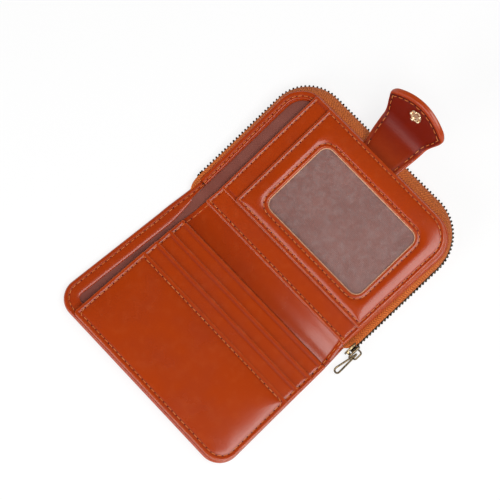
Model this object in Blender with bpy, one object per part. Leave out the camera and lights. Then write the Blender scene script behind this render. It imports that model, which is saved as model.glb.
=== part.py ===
"""Zip wallet, opened flat: a card half and a zip-around coin pouch joined at a fold.

Metres, +Z up. X runs across the opened wallet towards the tab strap. Y runs along the
fold towards the mouth of the bill compartment. The wallet lies on z = 0. The left half
leans on its snap stud, and the right half rises away from the fold like a wedge, because
the coin pouch under it is thin at the fold and deep at the strap.
"""

import math

import bmesh
import bpy
from mathutils import Matrix, Vector

MM = 0.001

# Clearances and sheet stock
GAP = 0.3 * MM
COVER_LEATHER = 1.0 * MM
PANEL_LEATHER = 1.0 * MM
SLOT_LEATHER = 0.8 * MM
PLAIN_LEATHER = 1.2 * MM
PADDED_LEATHER = 1.6 * MM
STRAP_LEATHER = 0.8 * MM
BOARD = 0.8 * MM
LINING = 0.5 * MM
FILM = 0.3 * MM
SPINE_LEATHER = 1.0 * MM
HEM_STEP = 0.3 * MM
SKIVE = 0.3 * MM
THIN_SKIVE = 0.03 * MM
PLAIN_CROWN = 0.4 * MM
EDGE_FALL = 0.7 * MM

# Plan of the covers, from the fold line and the middle of the fold. Each pair of margins is
# how far an edge stands past the inner panels, at the fold and at the outer corner.
PANEL_HALF = 49.1 * MM
SPINE_HALF = 13.0 * MM
RIGHT_WIDTH = 84.6 * MM
LEFT_SHORTER = 4.3 * MM
LEFT_LOW_MARGINS = (2.1 * MM, 4.2 * MM)
LEFT_HIGH_MARGINS = (12.9 * MM, 16.0 * MM)
RIGHT_LOW_MARGINS = (0.8 * MM, 2.5 * MM)
RIGHT_HIGH_MARGINS = (11.4 * MM, 12.4 * MM)
SPINE_LOW_MARGIN = 0.5 * MM
SPINE_HIGH_MARGIN = 11.4 * MM
LEFT_CORNER = 11.0 * MM
RIGHT_CORNER = 15.0 * MM
HEM = 4.2 * MM

# Plan of the inner panels
LEFT_PANEL_MARGIN = 1.1 * MM
LEFT_PANEL_LOW_MARGINS = (2.0 * MM, 4.1 * MM)
LEFT_PANEL_HIGH_MARGINS = (1.9 * MM, 2.5 * MM)
RIGHT_PANEL_MARGIN = 1.2 * MM
PANEL_CORNER = 10.0 * MM
RIGHT_PANEL_CORNER = 13.8 * MM
SMALL_CORNER = 1.2 * MM
LEFT_MOUTHS = (7.5 * MM, 16.0 * MM, 24.8 * MM, 33.2 * MM)
RIGHT_MOUTHS = (7.5 * MM, 17.7 * MM)
BASE_MOUTH = 7.0 * MM
ID_LEFT = 18.2 * MM
ID_UNDER_TOP = 10.0 * MM
WINDOW_BORDERS = (8.8 * MM, 13.4 * MM, 11.1 * MM, 11.5 * MM)
WINDOW_CORNER = 5.0 * MM
FILM_LAP = 3.0 * MM
PLAIN_BAND = 6.0 * MM
LINING_INSET = 3.0 * MM
LINING_START = 12.0 * MM

# Heights and lean of the halves
POUCH_TILT = math.radians(9.5)
STUD_HEIGHT = 2.15 * MM
STUD_FROM_EDGE = 12.3 * MM
CLOSED_GAP = 0.5 * MM

# Zip
ZIP_PAST_WALL = 5.5 * MM
ZIP_LOW_MARGINS = (4.8 * MM, 4.5 * MM)
ZIP_HIGH_MARGINS = (13.3 * MM, 14.3 * MM)
ZIP_CORNER = 20.0 * MM
TAPE = 0.6 * MM
TAPE_BULGE = 0.7 * MM
TOOTH_DEPTH = 1.5 * MM
TOOTH_HEIGHT = 1.2 * MM
TEETH_LEAD = 5.6 * MM
TAPE_SETBACK = 0.4 * MM
RUN_STEP = 8.0 * MM
STOP_LENGTH = 1.2 * MM
STOP_HEIGHT = 2.8 * MM

# Slider, its bail and the puller
SLIDER_FROM_START = 4.6 * MM
SLIDER_LENGTH = 7.6 * MM
SLIDER_WIDTH = 5.4 * MM
SLIDER_NOSE = 1.3 * MM
SLIDER_PLATE = 0.6 * MM
SLIDER_CHANNEL = 2.0 * MM
SLIDER_SLIT = 0.9 * MM
SLIDER_FLANGE = 0.6 * MM
SLIDER_POST = (1.4 * MM, 1.0 * MM)
SLIDER_POST_INSET = 0.9 * MM
BAIL_HALF = 2.4 * MM
BAIL_RISE = 2.7 * MM
BAIL_WIRE = 0.45 * MM
BAIL_CORNER = 1.0 * MM
PULLER_WIRE = 0.5 * MM
PULLER_LENGTH = 13.5 * MM
PULLER_NEAR_HALF = 1.3 * MM
PULLER_FAR_HALF = 1.7 * MM
PULLER_STANDOFF = 1.25 * MM
PULLER_REST = math.radians(4.0)
PULLER_TWIST = math.radians(60.0)

# Tab strap and snap
STRAP_MIDDLE = 4.3 * MM
STRAP_SEAM = 13.0 * MM
STRAP_HALF_WIDTHS = (11.8 * MM, 13.4 * MM, 18.0 * MM)
STRAP_END_RISE = 7.6 * MM
STRAP_END_CORNER = 2.6 * MM
STRAP_EDGE_INSET = 0.9 * MM
STRAP_RISE = math.radians(5.0)
STRAP_CURL = math.radians(49.5)
BEND_GAP = 0.9 * MM
SNAP_TO_END = 9.5 * MM
SNAP_OVER_COVER = 2.5 * MM
SOCKET_RADIUS = 3.6 * MM
SOCKET_BORE = 2.0 * MM
SOCKET_HEIGHT = 1.2 * MM
CAP_RADIUS = 5.5 * MM
CAP_HEIGHT = 1.0 * MM
CAP_DOME_SHARE = 0.7
STUD_FLANGE = (4.0 * MM, 0.5 * MM)
STUD_NECK = (1.3 * MM, 0.5 * MM)
STUD_BALL_RADIUS = 1.7 * MM
RIVET = (3.6 * MM, 0.6 * MM)

# Facets
CORNER_STEPS = 6
ROUND_STEPS = 20
OVERRUN = 2.0 * MM

# Heights worked out from the stock
BOARD_LOW = COVER_LEATHER + GAP
LINING_LOW = BOARD_LOW + BOARD + GAP
RIM_TOP = LINING_LOW + LINING + HEM_STEP
LEFT_BASE = RIM_TOP + GAP
LEFT_SLOTS = LEFT_BASE + PANEL_LEATHER + GAP
SLOT_STEP = SLOT_LEATHER + GAP
LEFT_PLAIN = LEFT_SLOTS + SLOT_STEP * 3
LEFT_TOP = LEFT_PLAIN + PLAIN_LEATHER
WALL_LINING_LOW = COVER_LEATHER + GAP
WALL_RIM_TOP = WALL_LINING_LOW + LINING + HEM_STEP
RIGHT_BASE = WALL_RIM_TOP + GAP
RIGHT_SLOTS = RIGHT_BASE + PANEL_LEATHER + GAP
ID_LINING_LOW = RIGHT_SLOTS + SLOT_STEP * 2
FILM_LOW = ID_LINING_LOW + LINING + GAP
ID_PANEL_LOW = FILM_LOW + FILM + GAP
BLOCK_TOP = ID_PANEL_LOW + PADDED_LEATHER
STRAP_STACK = STRAP_LEATHER + GAP + STRAP_LEATHER
STRAP_LOW = RIGHT_SLOTS
STRAP_TOP = STRAP_LOW + STRAP_STACK
WALL_START = RIM_TOP + GAP

# Places worked out from the plan
COVER_START = SPINE_HALF + GAP
LEFT_WIDTH = RIGHT_WIDTH - LEFT_SHORTER
LEFT_LOW = [PANEL_HALF + margin for margin in LEFT_LOW_MARGINS]
LEFT_HIGH = [PANEL_HALF + margin for margin in LEFT_HIGH_MARGINS]
RIGHT_LOW = [PANEL_HALF + margin for margin in RIGHT_LOW_MARGINS]
RIGHT_HIGH = [PANEL_HALF + margin for margin in RIGHT_HIGH_MARGINS]
SPINE_LOW = PANEL_HALF + SPINE_LOW_MARGIN
SPINE_HIGH = PANEL_HALF + SPINE_HIGH_MARGIN
LEFT_PANEL_EDGE = LEFT_WIDTH - LEFT_PANEL_MARGIN
RIGHT_PANEL_EDGE = RIGHT_WIDTH - RIGHT_PANEL_MARGIN
ID_HIGH = PANEL_HALF - ID_UNDER_TOP
WINDOW_X = (ID_LEFT + WINDOW_BORDERS[0], RIGHT_PANEL_EDGE - WINDOW_BORDERS[1])
WINDOW_Y = (WINDOW_BORDERS[2] - PANEL_HALF, ID_HIGH - WINDOW_BORDERS[3])
ZIP_REACH = RIGHT_WIDTH + ZIP_PAST_WALL
ZIP_LOW = [PANEL_HALF + margin for margin in ZIP_LOW_MARGINS]
ZIP_HIGH = [PANEL_HALF + margin for margin in ZIP_HIGH_MARGINS]
STUD_FROM_FOLD = LEFT_WIDTH - STUD_FROM_EDGE
RIGHT_REACH = SPINE_HALF + (RIGHT_WIDTH - SPINE_HALF) * math.cos(POUCH_TILT)
LEFT_LIFT = math.asin(STUD_HEIGHT / STUD_FROM_FOLD)
FOLD_HEIGHT = (
    LEFT_TOP + BLOCK_TOP + CLOSED_GAP - SPINE_HALF * math.sin(POUCH_TILT) + WALL_START * math.cos(POUCH_TILT)
) / (math.cos(LEFT_LIFT) + math.cos(POUCH_TILT))
FOLD_ON_BLOCK = SPINE_HALF * (1 - math.cos(POUCH_TILT)) + (FOLD_HEIGHT - WALL_START) * math.sin(POUCH_TILT)
STUD_ON_BLOCK = FOLD_ON_BLOCK + STUD_FROM_FOLD - FOLD_HEIGHT * math.sin(LEFT_LIFT)
STRAP_ROOT_END = RIGHT_WIDTH - BEND_GAP / 2
CLOSED_FACE = BLOCK_TOP + CLOSED_GAP + LEFT_TOP
STRAP_BASE_LENGTH = CLOSED_FACE + SNAP_OVER_COVER - STRAP_TOP
SNAP_FROM_BEND = RIGHT_WIDTH - STUD_ON_BLOCK
STRAP_TIP_LENGTH = SNAP_FROM_BEND + SNAP_TO_END


def clear_scene():
    for item in list(bpy.data.objects):
        bpy.data.objects.remove(item, do_unlink=True)


def make_material(name, colour, roughness, metallic=0.0, alpha=1.0):
    material = bpy.data.materials.new(name)
    material.use_nodes = True
    shader = material.node_tree.nodes["Principled BSDF"]
    shader.inputs["Base Color"].default_value = (*colour, 1.0)
    shader.inputs["Roughness"].default_value = roughness
    shader.inputs["Metallic"].default_value = metallic
    shader.inputs["Alpha"].default_value = alpha
    material.diffuse_color = (*colour, alpha)
    return material


def make_frame(name, matrix, parent=None):
    """An empty that carries the pieces of one moving group."""
    frame = bpy.data.objects.new(name, None)
    bpy.context.collection.objects.link(frame)
    frame.parent = parent
    frame.matrix_local = matrix
    return frame


def turned_about_y(angle, place):
    return Matrix.Translation(place) @ Matrix.Rotation(angle, 4, "Y")


def add_piece(name, bm, parent, material, smooth=False):
    """Turns a bmesh into a named object carried by parent."""
    bmesh.ops.recalc_face_normals(bm, faces=bm.faces)
    mesh = bpy.data.meshes.new(name)
    bm.to_mesh(mesh)
    bm.free()
    if smooth:
        mesh.shade_smooth()
        mesh.set_sharp_from_angle(angle=math.radians(35.0))
    piece = bpy.data.objects.new(name, mesh)
    bpy.context.collection.objects.link(piece)
    piece.parent = parent
    piece.data.materials.append(material)
    return piece


def add_loft(bm, sections, ring=False):
    """Joins equal sections into one closed body, capped at both ends or closed on itself."""
    rows = [[bm.verts.new(point) for point in section] for section in sections]
    count = len(rows[0])
    pairs = list(zip(rows, rows[1:]))
    if ring:
        pairs.append((rows[-1], rows[0]))
    for row, after in pairs:
        for i in range(count):
            j = (i + 1) % count
            bm.faces.new((row[i], row[j], after[j], after[i]))
    if not ring:
        bm.faces.new(rows[0][::-1])
        bm.faces.new(rows[-1])


def loft(name, sections, parent, material, ring=False, smooth=False):
    bm = bmesh.new()
    add_loft(bm, sections, ring)
    return add_piece(name, bm, parent, material, smooth)


def arc(middle, radius, start, end, steps):
    """Points along an arc from start to end degrees, both ends included."""
    points = []
    for i in range(steps + 1):
        angle = math.radians(start + (end - start) * i / steps)
        points.append((middle[0] + radius * math.cos(angle), middle[1] + radius * math.sin(angle)))
    return points


def rounded_box(low, high, radii, inset=0.0):
    """Outline of a rounded rectangle. The radii start at the low corner and run anticlockwise."""
    x0, y0 = low[0] + inset, low[1] + inset
    x1, y1 = high[0] - inset, high[1] - inset
    places = ((x0, y0, 1, 1, 180), (x1, y0, -1, 1, 270), (x1, y1, -1, -1, 0), (x0, y1, 1, -1, 90))
    points = []
    for radius, (x, y, sx, sy, start) in zip(radii, places):
        steps = CORNER_STEPS if radius > SMALL_CORNER else 2
        r = max(radius - inset, SKIVE)
        points += arc((x + sx * r, y + sy * r), r, start, start + 90, steps)
    return points


def lifted(points, height):
    return [(x, y, height) for x, y in points]


def skived(bottom, top, skive=SKIVE):
    """Insets and heights of a flat layer with its upper and lower edges skived."""
    return ((skive, bottom), (0.0, bottom + skive / 2), (0.0, top - skive / 2), (skive, top))


def sheet(name, low, high, radii, bottom, top, parent, material, skive=SKIVE):
    levels = skived(bottom, top, skive)
    sections = [lifted(rounded_box(low, high, radii, inset), height) for inset, height in levels]
    return loft(name, sections, parent, material)


def side_path(near_x, far_x, low, high, radius, inset=0.0):
    """Open outline round the outer side of a half, from the fold's lower end to its upper end."""
    sign = 1.0 if far_x > 0.0 else -1.0
    r = radius - inset
    x = abs(far_x) - inset - r
    points = [(abs(near_x), inset - low[0])]
    points += arc((x, inset + r - low[1]), r, -90, 0, CORNER_STEPS)
    points += arc((x, high[1] - inset - r), r, 0, 90, CORNER_STEPS)
    points.append((abs(near_x), high[0] - inset))
    return [(sign * px, py) for px, py in points]


def add_tray(name, outer, inner, bottom, floor, rim, parent, material):
    """A cover whose turned hem stands up on three sides, open at the fold."""
    bm = bmesh.new()
    levels = ((outer, bottom), (outer, rim), (inner, rim), (inner, floor))
    rows = [[bm.verts.new((x, y, height)) for x, y in path] for path, height in levels]
    for row, after in zip(rows, rows[1:]):
        for i in range(len(row) - 1):
            bm.faces.new((row[i], row[i + 1], after[i + 1], after[i]))
    bm.faces.new(rows[0][::-1])
    bm.faces.new(rows[3])
    ends = [row[0] for row in rows] + [row[-1] for row in reversed(rows)]
    bm.faces.new(ends)
    return add_piece(name, bm, parent, material)


def cut(piece, name, outline, low, high):
    """Cuts a straight hole of the given outline through a piece."""
    cutter = loft(name, [lifted(outline, low), lifted(outline, high)], piece.parent, piece.data.materials[0])
    cutter.hide_render = True
    cutter.display_type = "WIRE"
    modifier = piece.modifiers.new(name, "BOOLEAN")
    modifier.operation = "DIFFERENCE"
    modifier.object = cutter


def turned(name, middle, profile, parent, material, bore=0.0):
    """A round piece from (radius, height) pairs, about a line along the parent's Z."""
    rings = [arc(middle, radius, 0, 360 - 360 / ROUND_STEPS, ROUND_STEPS - 1) for radius, _ in profile]
    sections = [lifted(ring, height) for ring, (_, height) in zip(rings, profile)]
    if bore > 0.0:
        hole = arc(middle, bore, 0, 360 - 360 / ROUND_STEPS, ROUND_STEPS - 1)
        sections += [lifted(hole, profile[-1][1]), lifted(hole, profile[0][1])]
        return loft(name, sections, parent, material, ring=True, smooth=True)
    return loft(name, sections, parent, material, smooth=True)


def wire(name, points, radius, parent, material, cyclic=False):
    """A bent round wire along a list of points."""
    curve = bpy.data.curves.new(name, "CURVE")
    curve.dimensions = "3D"
    curve.bevel_depth = radius
    curve.bevel_resolution = 2
    curve.use_fill_caps = True
    spline = curve.splines.new("POLY")
    spline.points.add(len(points) - 1)
    for place, point in zip(spline.points, points):
        place.co = (*point, 1.0)
    spline.use_cyclic_u = cyclic
    curve.materials.append(material)
    piece = bpy.data.objects.new(name, curve)
    bpy.context.collection.objects.link(piece)
    piece.parent = parent
    return piece


def block_point(x, y, height):
    """A point of the tilted right block, given in the block's own flat plan."""
    along = x - SPINE_HALF
    return Vector((
        SPINE_HALF + along * math.cos(POUCH_TILT) - height * math.sin(POUCH_TILT),
        y,
        WALL_START + along * math.sin(POUCH_TILT) + height * math.cos(POUCH_TILT),
    ))


def left_point(x, y, height):
    """A point of the left half, given in the left half's own flat plan."""
    return Matrix.Rotation(LEFT_LIFT, 3, "Y") @ Vector((x, y, height))


def middle_height(x):
    """Height of the zip's chain, halfway between the pouch cover and the middle wall."""
    wall = WALL_START + (x - SPINE_HALF) * math.tan(POUCH_TILT)
    return (RIM_TOP + wall) / 2


def chain_path():
    """The middle line of the zip, from the fold's lower end round to its upper end."""
    flat = side_path(SPINE_HALF, ZIP_REACH, ZIP_LOW, ZIP_HIGH, ZIP_CORNER)
    return [Vector((x, y, middle_height(x))) for x, y in flat]


# Left half

def build_left_cover(frame, looks):
    outer = side_path(COVER_START, -LEFT_WIDTH, LEFT_LOW, LEFT_HIGH, LEFT_CORNER)
    inner = side_path(COVER_START, -LEFT_WIDTH, LEFT_LOW, LEFT_HIGH, LEFT_CORNER, HEM)
    add_tray("cover_leather_left", outer, inner, 0.0, COVER_LEATHER, RIM_TOP, frame, looks["leather"])
    edge = HEM + GAP
    low = (edge - LEFT_WIDTH, edge - LEFT_LOW[0])
    high = (-COVER_START, LEFT_HIGH[0] - edge)
    corner = LEFT_CORNER - HEM
    radii = (corner, SMALL_CORNER, SMALL_CORNER, corner)
    board = sheet("cover_board_left", low, high, radii, BOARD_LOW, BOARD_LOW + BOARD, frame, looks["board"])
    hole = arc((-STUD_FROM_FOLD, STRAP_MIDDLE), RIVET[0] + GAP, 0, 360 - 360 / ROUND_STEPS, ROUND_STEPS - 1)
    cut(board, "rivet_clearance", hole, BOARD_LOW - OVERRUN, BOARD_LOW + BOARD + OVERRUN)
    sheet("bill_lining_left", low, high, radii, LINING_LOW, LINING_LOW + LINING, frame, looks["lining"], THIN_SKIVE)


def widened(x, y):
    """Moves a point of the left half's panels outward, as they widen towards the outer end like their cover."""
    share = (-x - BASE_MOUTH) / (LEFT_PANEL_EDGE - BASE_MOUTH)
    near, far = LEFT_PANEL_LOW_MARGINS if y < 0 else LEFT_PANEL_HIGH_MARGINS
    return x, y * (1 + (near + (far - near) * share) / PANEL_HALF)


def build_left_panels(frame, looks):
    """The bill compartment's front wall and the card slots, each shorter than the one below."""
    radii = (PANEL_CORNER, SMALL_CORNER, SMALL_CORNER, SMALL_CORNER)

    def panel(name, mouth, levels):
        low, high = (-LEFT_PANEL_EDGE, -PANEL_HALF), (-mouth, PANEL_HALF)
        sections = []
        for inset, height in levels:
            outline = [widened(x, y) for x, y in rounded_box(low, high, radii, inset)]
            sections.append(lifted(outline, height))
        loft(name, sections, frame, looks["leather"])

    panel("pocket_base_left", BASE_MOUTH, skived(LEFT_BASE, LEFT_BASE + PANEL_LEATHER))
    for i, number in enumerate((4, 3, 2)):
        bottom = LEFT_SLOTS + SLOT_STEP * i
        panel(f"card_slot_left_{number}", LEFT_MOUTHS[i], skived(bottom, bottom + SLOT_LEATHER))
    panel("plain_panel_left", LEFT_MOUTHS[3], (
        (SKIVE, LEFT_PLAIN),
        (0.0, LEFT_PLAIN + SKIVE),
        (0.0, LEFT_TOP - PLAIN_CROWN - SKIVE),
        (SKIVE, LEFT_TOP - PLAIN_CROWN),
        (PLAIN_BAND, LEFT_TOP),
    ))


def build_stud(frame, looks):
    """The snap's ball half under the left cover, and the washer that holds it inside."""
    middle = (-STUD_FROM_FOLD, STRAP_MIDDLE)
    flange = -GAP - STUD_FLANGE[1]
    neck = flange - STUD_NECK[1]
    profile = (
        (STUD_FLANGE[0], -GAP),
        (STUD_FLANGE[0], flange),
        (STUD_NECK[0], flange),
        (STUD_NECK[0], neck),
        (STUD_BALL_RADIUS, (neck * 2 - STUD_HEIGHT) / 3),
        (STUD_BALL_RADIUS, (neck - STUD_HEIGHT * 2) / 3),
        (STUD_NECK[0], -STUD_HEIGHT),
    )
    turned("snap_stud", middle, profile, frame, looks["gold"])
    rivet = ((RIVET[0], BOARD_LOW), (RIVET[0], BOARD_LOW + RIVET[1]))
    turned("stud_rivet", middle, rivet, frame, looks["gold"])


# Right block

def build_spine(frame, looks):
    low = (-SPINE_HALF + GAP, -SPINE_LOW)
    high = (SPINE_HALF - GAP, SPINE_HIGH)
    radii = (SMALL_CORNER,) * 4
    sheet("spine_leather", low, high, radii, 0.0, SPINE_LEATHER, frame, looks["leather"])
    reach = BASE_MOUTH - GAP
    corners = ((-PANEL_HALF, 0.0), (PANEL_HALF, 0.0), (PANEL_HALF, PANEL_LEATHER), (-PANEL_HALF, PANEL_LEATHER))
    sections = [
        [left_point(*widened(-reach, y), LEFT_BASE + rise) for y, rise in corners],
        [block_point(reach, y, RIGHT_BASE + rise) for y, rise in corners],
    ]
    loft("spine_inner_panel", sections, frame, looks["leather"])


def build_middle_wall(frame, looks):
    outer = side_path(COVER_START, RIGHT_WIDTH, RIGHT_LOW, RIGHT_HIGH, RIGHT_CORNER)
    inner = side_path(COVER_START, RIGHT_WIDTH, RIGHT_LOW, RIGHT_HIGH, RIGHT_CORNER, HEM)
    add_tray("middle_wall", outer, inner, 0.0, COVER_LEATHER, WALL_RIM_TOP, frame, looks["leather"])
    corner = RIGHT_CORNER - HEM
    radii = (SMALL_CORNER, corner, corner, SMALL_CORNER)
    edge = HEM + GAP
    low = (COVER_START, edge - RIGHT_LOW[0])
    high = (RIGHT_WIDTH - edge, RIGHT_HIGH[0] - edge)
    top = WALL_LINING_LOW + LINING
    sheet("bill_lining_right", low, high, radii, WALL_LINING_LOW, top, frame, looks["lining"], THIN_SKIVE)
    low = (SPINE_HALF + LINING_START, LINING_INSET - RIGHT_LOW[0])
    high = (RIGHT_WIDTH - LINING_INSET, RIGHT_HIGH[0] - LINING_INSET)
    sheet("pouch_lining_top", low, high, radii, -GAP - LINING, -GAP, frame, looks["lining"], THIN_SKIVE)


def notched_outline(mouth):
    """A right panel's outline with a notch for the strap's sewn end."""
    x0, x1 = mouth, RIGHT_PANEL_EDGE
    notch_x = RIGHT_PANEL_EDGE - STRAP_SEAM - GAP
    half = STRAP_HALF_WIDTHS[0] + GAP
    r = RIGHT_PANEL_CORNER
    points = [(x0, -PANEL_HALF)]
    points += arc((x1 - r, r - PANEL_HALF), r, -90, 0, CORNER_STEPS)
    points += [(x1, STRAP_MIDDLE - half), (notch_x, STRAP_MIDDLE - half)]
    points += [(notch_x, STRAP_MIDDLE + half), (x1, STRAP_MIDDLE + half)]
    points += [(x1, PANEL_HALF), (x0, PANEL_HALF)]
    return points


def build_right_panels(frame, looks):
    radii = (SMALL_CORNER, RIGHT_PANEL_CORNER, SMALL_CORNER, SMALL_CORNER)
    low = (BASE_MOUTH, -PANEL_HALF)
    high = (RIGHT_PANEL_EDGE, PANEL_HALF)
    top = RIGHT_BASE + PANEL_LEATHER
    sheet("pocket_base_right", low, high, radii, RIGHT_BASE, top, frame, looks["leather"])
    for i, number in enumerate((2, 1)):
        outline = notched_outline(RIGHT_MOUTHS[i])
        bottom = RIGHT_SLOTS + SLOT_STEP * i
        sections = [lifted(outline, bottom), lifted(outline, bottom + SLOT_LEATHER)]
        loft(f"card_slot_right_{number}", sections, frame, looks["leather"])


def build_id_window(frame, looks):
    """The ID pocket: its back lining, the clear film and the padded panel round the window."""
    low, high = (ID_LEFT, -PANEL_HALF), (RIGHT_PANEL_EDGE, ID_HIGH)
    radii = (SMALL_CORNER, RIGHT_PANEL_CORNER, SMALL_CORNER, SMALL_CORNER)
    top = ID_LINING_LOW + LINING
    sheet("id_pocket_lining", low, high, radii, ID_LINING_LOW, top, frame, looks["lining"], THIN_SKIVE)
    window_low = (WINDOW_X[0], WINDOW_Y[0])
    window_high = (WINDOW_X[1], WINDOW_Y[1])
    corners = (WINDOW_CORNER,) * 4
    film = [rounded_box(window_low, window_high, corners, -FILM_LAP)] * 2
    sections = [lifted(film[0], FILM_LOW), lifted(film[1], FILM_LOW + FILM)]
    loft("id_window_film", sections, frame, looks["film"])

    edge_radii = (SMALL_CORNER + SKIVE, RIGHT_PANEL_CORNER, SMALL_CORNER + SKIVE, SMALL_CORNER + SKIVE)

    def rim(inset, height):
        return lifted(rounded_box(low, high, edge_radii, inset), height)

    def hole(inset, height):
        return lifted(rounded_box(window_low, window_high, corners, inset), height)

    edge_top = BLOCK_TOP - EDGE_FALL
    sections = [
        rim(0.0, ID_PANEL_LOW),
        rim(0.0, edge_top - SKIVE),
        rim(SKIVE, edge_top),
        hole(-PLAIN_BAND, BLOCK_TOP),
        hole(-SKIVE * 4, BLOCK_TOP - SKIVE),
        hole(0.0, edge_top),
        hole(0.0, ID_PANEL_LOW),
    ]
    loft("id_window_panel", sections, frame, looks["leather"], ring=True)


# Pouch cover

def build_pouch_cover(frame, looks):
    outer = side_path(COVER_START, RIGHT_REACH, RIGHT_LOW, RIGHT_HIGH, RIGHT_CORNER)
    inner = side_path(COVER_START, RIGHT_REACH, RIGHT_LOW, RIGHT_HIGH, RIGHT_CORNER, HEM)
    add_tray("cover_leather_right", outer, inner, 0.0, COVER_LEATHER, RIM_TOP, frame, looks["leather"])
    corner = RIGHT_CORNER - HEM
    radii = (SMALL_CORNER, corner, corner, SMALL_CORNER)
    edge = HEM + GAP
    low = (COVER_START, edge - RIGHT_LOW[0])
    high = (RIGHT_REACH - edge, RIGHT_HIGH[0] - edge)
    sheet("cover_board_right", low, high, radii, BOARD_LOW, BOARD_LOW + BOARD, frame, looks["board"])
    top = LINING_LOW + LINING
    sheet("pouch_lining_bottom", low, high, radii, LINING_LOW, top, frame, looks["lining"], THIN_SKIVE)


# Zip

def trimmed(path, from_start, from_end):
    """The path with its two ends moved inwards, or outwards where the distance is negative."""
    path = list(path)
    path[0] = path[0] + (path[1] - path[0]).normalized() * from_start
    path[-1] = path[-1] + (path[-2] - path[-1]).normalized() * from_end
    return path


def subdivided(path, counts):
    """The path with each of its runs cut into the given number of equal steps."""
    points = []
    for start, end, count in zip(path, path[1:], counts):
        points += [start.lerp(end, i / count) for i in range(count)]
    return points + [path[-1]]


def run_counts(path):
    return [math.ceil((end - start).length / RUN_STEP) for start, end in zip(path, path[1:])]


def direction_at(path, i):
    return (path[min(i + 1, len(path) - 1)] - path[max(i - 1, 0)]).normalized()


def tape_sections(sewn, chain, side):
    """Sections of a tape that swells outwards between its sewn edge and its row of teeth."""
    sections = []
    for i, (inner, outer) in enumerate(zip(sewn, chain)):
        along = direction_at(chain, i)
        middle = (inner + outer) / 2 + (outer - inner).cross(along).normalized() * (TAPE_BULGE * side)
        rows = (inner, middle, outer)
        runs = (middle - inner, outer - inner, outer - middle)
        halves = [run.cross(along).normalized() * (TAPE / 2) for run in runs]
        lower = [row - half for row, half in zip(rows, halves)]
        upper = [row + half for row, half in zip(rows, halves)]
        sections.append(lower + upper[::-1])
    return sections


def build_tapes(upper_frame, lower_frame, looks):
    """Each tape runs from a leather edge out to its own row of teeth."""
    chain = trimmed(chain_path(), TAPE_SETBACK, TAPE_SETBACK)
    counts = run_counts(chain)
    start = chain[0].x
    rise = Vector((0.0, 0.0, GAP / 2 + TOOTH_HEIGHT + GAP + TAPE / 2))
    inset = -GAP - TAPE / 2
    top = side_path(start, RIGHT_WIDTH, RIGHT_LOW, RIGHT_HIGH, RIGHT_CORNER, inset)
    bottom = side_path(start, RIGHT_REACH, RIGHT_LOW, RIGHT_HIGH, RIGHT_CORNER, inset)
    rows = (
        ("zip_tape_upper", upper_frame, 1.0, [block_point(x, y, COVER_LEATHER) for x, y in top]),
        ("zip_tape_lower", lower_frame, -1.0, [Vector((x, y, RIM_TOP / 2)) for x, y in bottom]),
    )
    for name, frame, side, sewn in rows:
        edge = subdivided([point + rise * side for point in chain], counts)
        loft(name, tape_sections(subdivided(sewn, counts), edge, side), frame, looks["tape"])


def build_teeth(upper_frame, lower_frame, looks):
    """The two rows of metal teeth as closed rails, one over the other with a little clearance."""
    path = trimmed(chain_path(), -TEETH_LEAD, STOP_LENGTH + GAP * 2)
    rows = (("zip_teeth_upper", upper_frame, GAP / 2), ("zip_teeth_lower", lower_frame, -GAP / 2 - TOOTH_HEIGHT))
    for name, frame, low in rows:
        sections = []
        for i, place in enumerate(path):
            along = direction_at(path, i)
            across = Vector((along.y, -along.x, 0.0)).normalized() * (TOOTH_DEPTH / 2)
            corners = ((-1, low), (1, low), (1, low + TOOTH_HEIGHT), (-1, low + TOOTH_HEIGHT))
            sections.append([place + across * side + Vector((0.0, 0.0, height)) for side, height in corners])
        loft(name, sections, frame, looks["brass"])


def build_end_stop(frame, looks):
    """The crimped stop that closes the far end of the chain."""
    path = chain_path()[::-1]
    along = (path[1] - path[0]).normalized()
    across = Vector((along.y, -along.x, 0.0)).normalized() * (TOOTH_DEPTH / 2)
    sections = []
    for reach in (GAP, GAP + STOP_LENGTH):
        place = path[0] + along * reach
        corners = ((-1, -1), (1, -1), (1, 1), (-1, 1))
        half = Vector((0.0, 0.0, STOP_HEIGHT / 2))
        sections.append([place + across * u + half * v for u, v in corners])
    loft("zip_end_stop", sections, frame, looks["brass"])


def slider_matrix():
    """The slider's own frame: X along the straight lower run of the chain, -Y away from the wallet."""
    path = chain_path()
    along = (path[1] - path[0]).normalized()
    inward = Vector((0.0, 0.0, 1.0)).cross(along).normalized()
    upward = along.cross(inward)
    place = path[0] - along * SLIDER_FROM_START
    matrix = Matrix((along, inward, upward)).transposed().to_4x4()
    matrix.translation = place
    return matrix


def plate_outline():
    """A slider plate seen from the side: full width at the tail, narrower at the nose."""
    half, wide = SLIDER_LENGTH / 2, SLIDER_WIDTH / 2
    nose = SLIDER_NOSE
    tail = SLIDER_NOSE / 2
    return [
        (-half, nose - wide),
        (nose - half, -wide),
        (half - tail, -wide),
        (half, tail - wide),
        (half, wide - tail),
        (half - tail, wide),
        (nose - half, wide),
        (-half, wide - nose),
    ]


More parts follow.
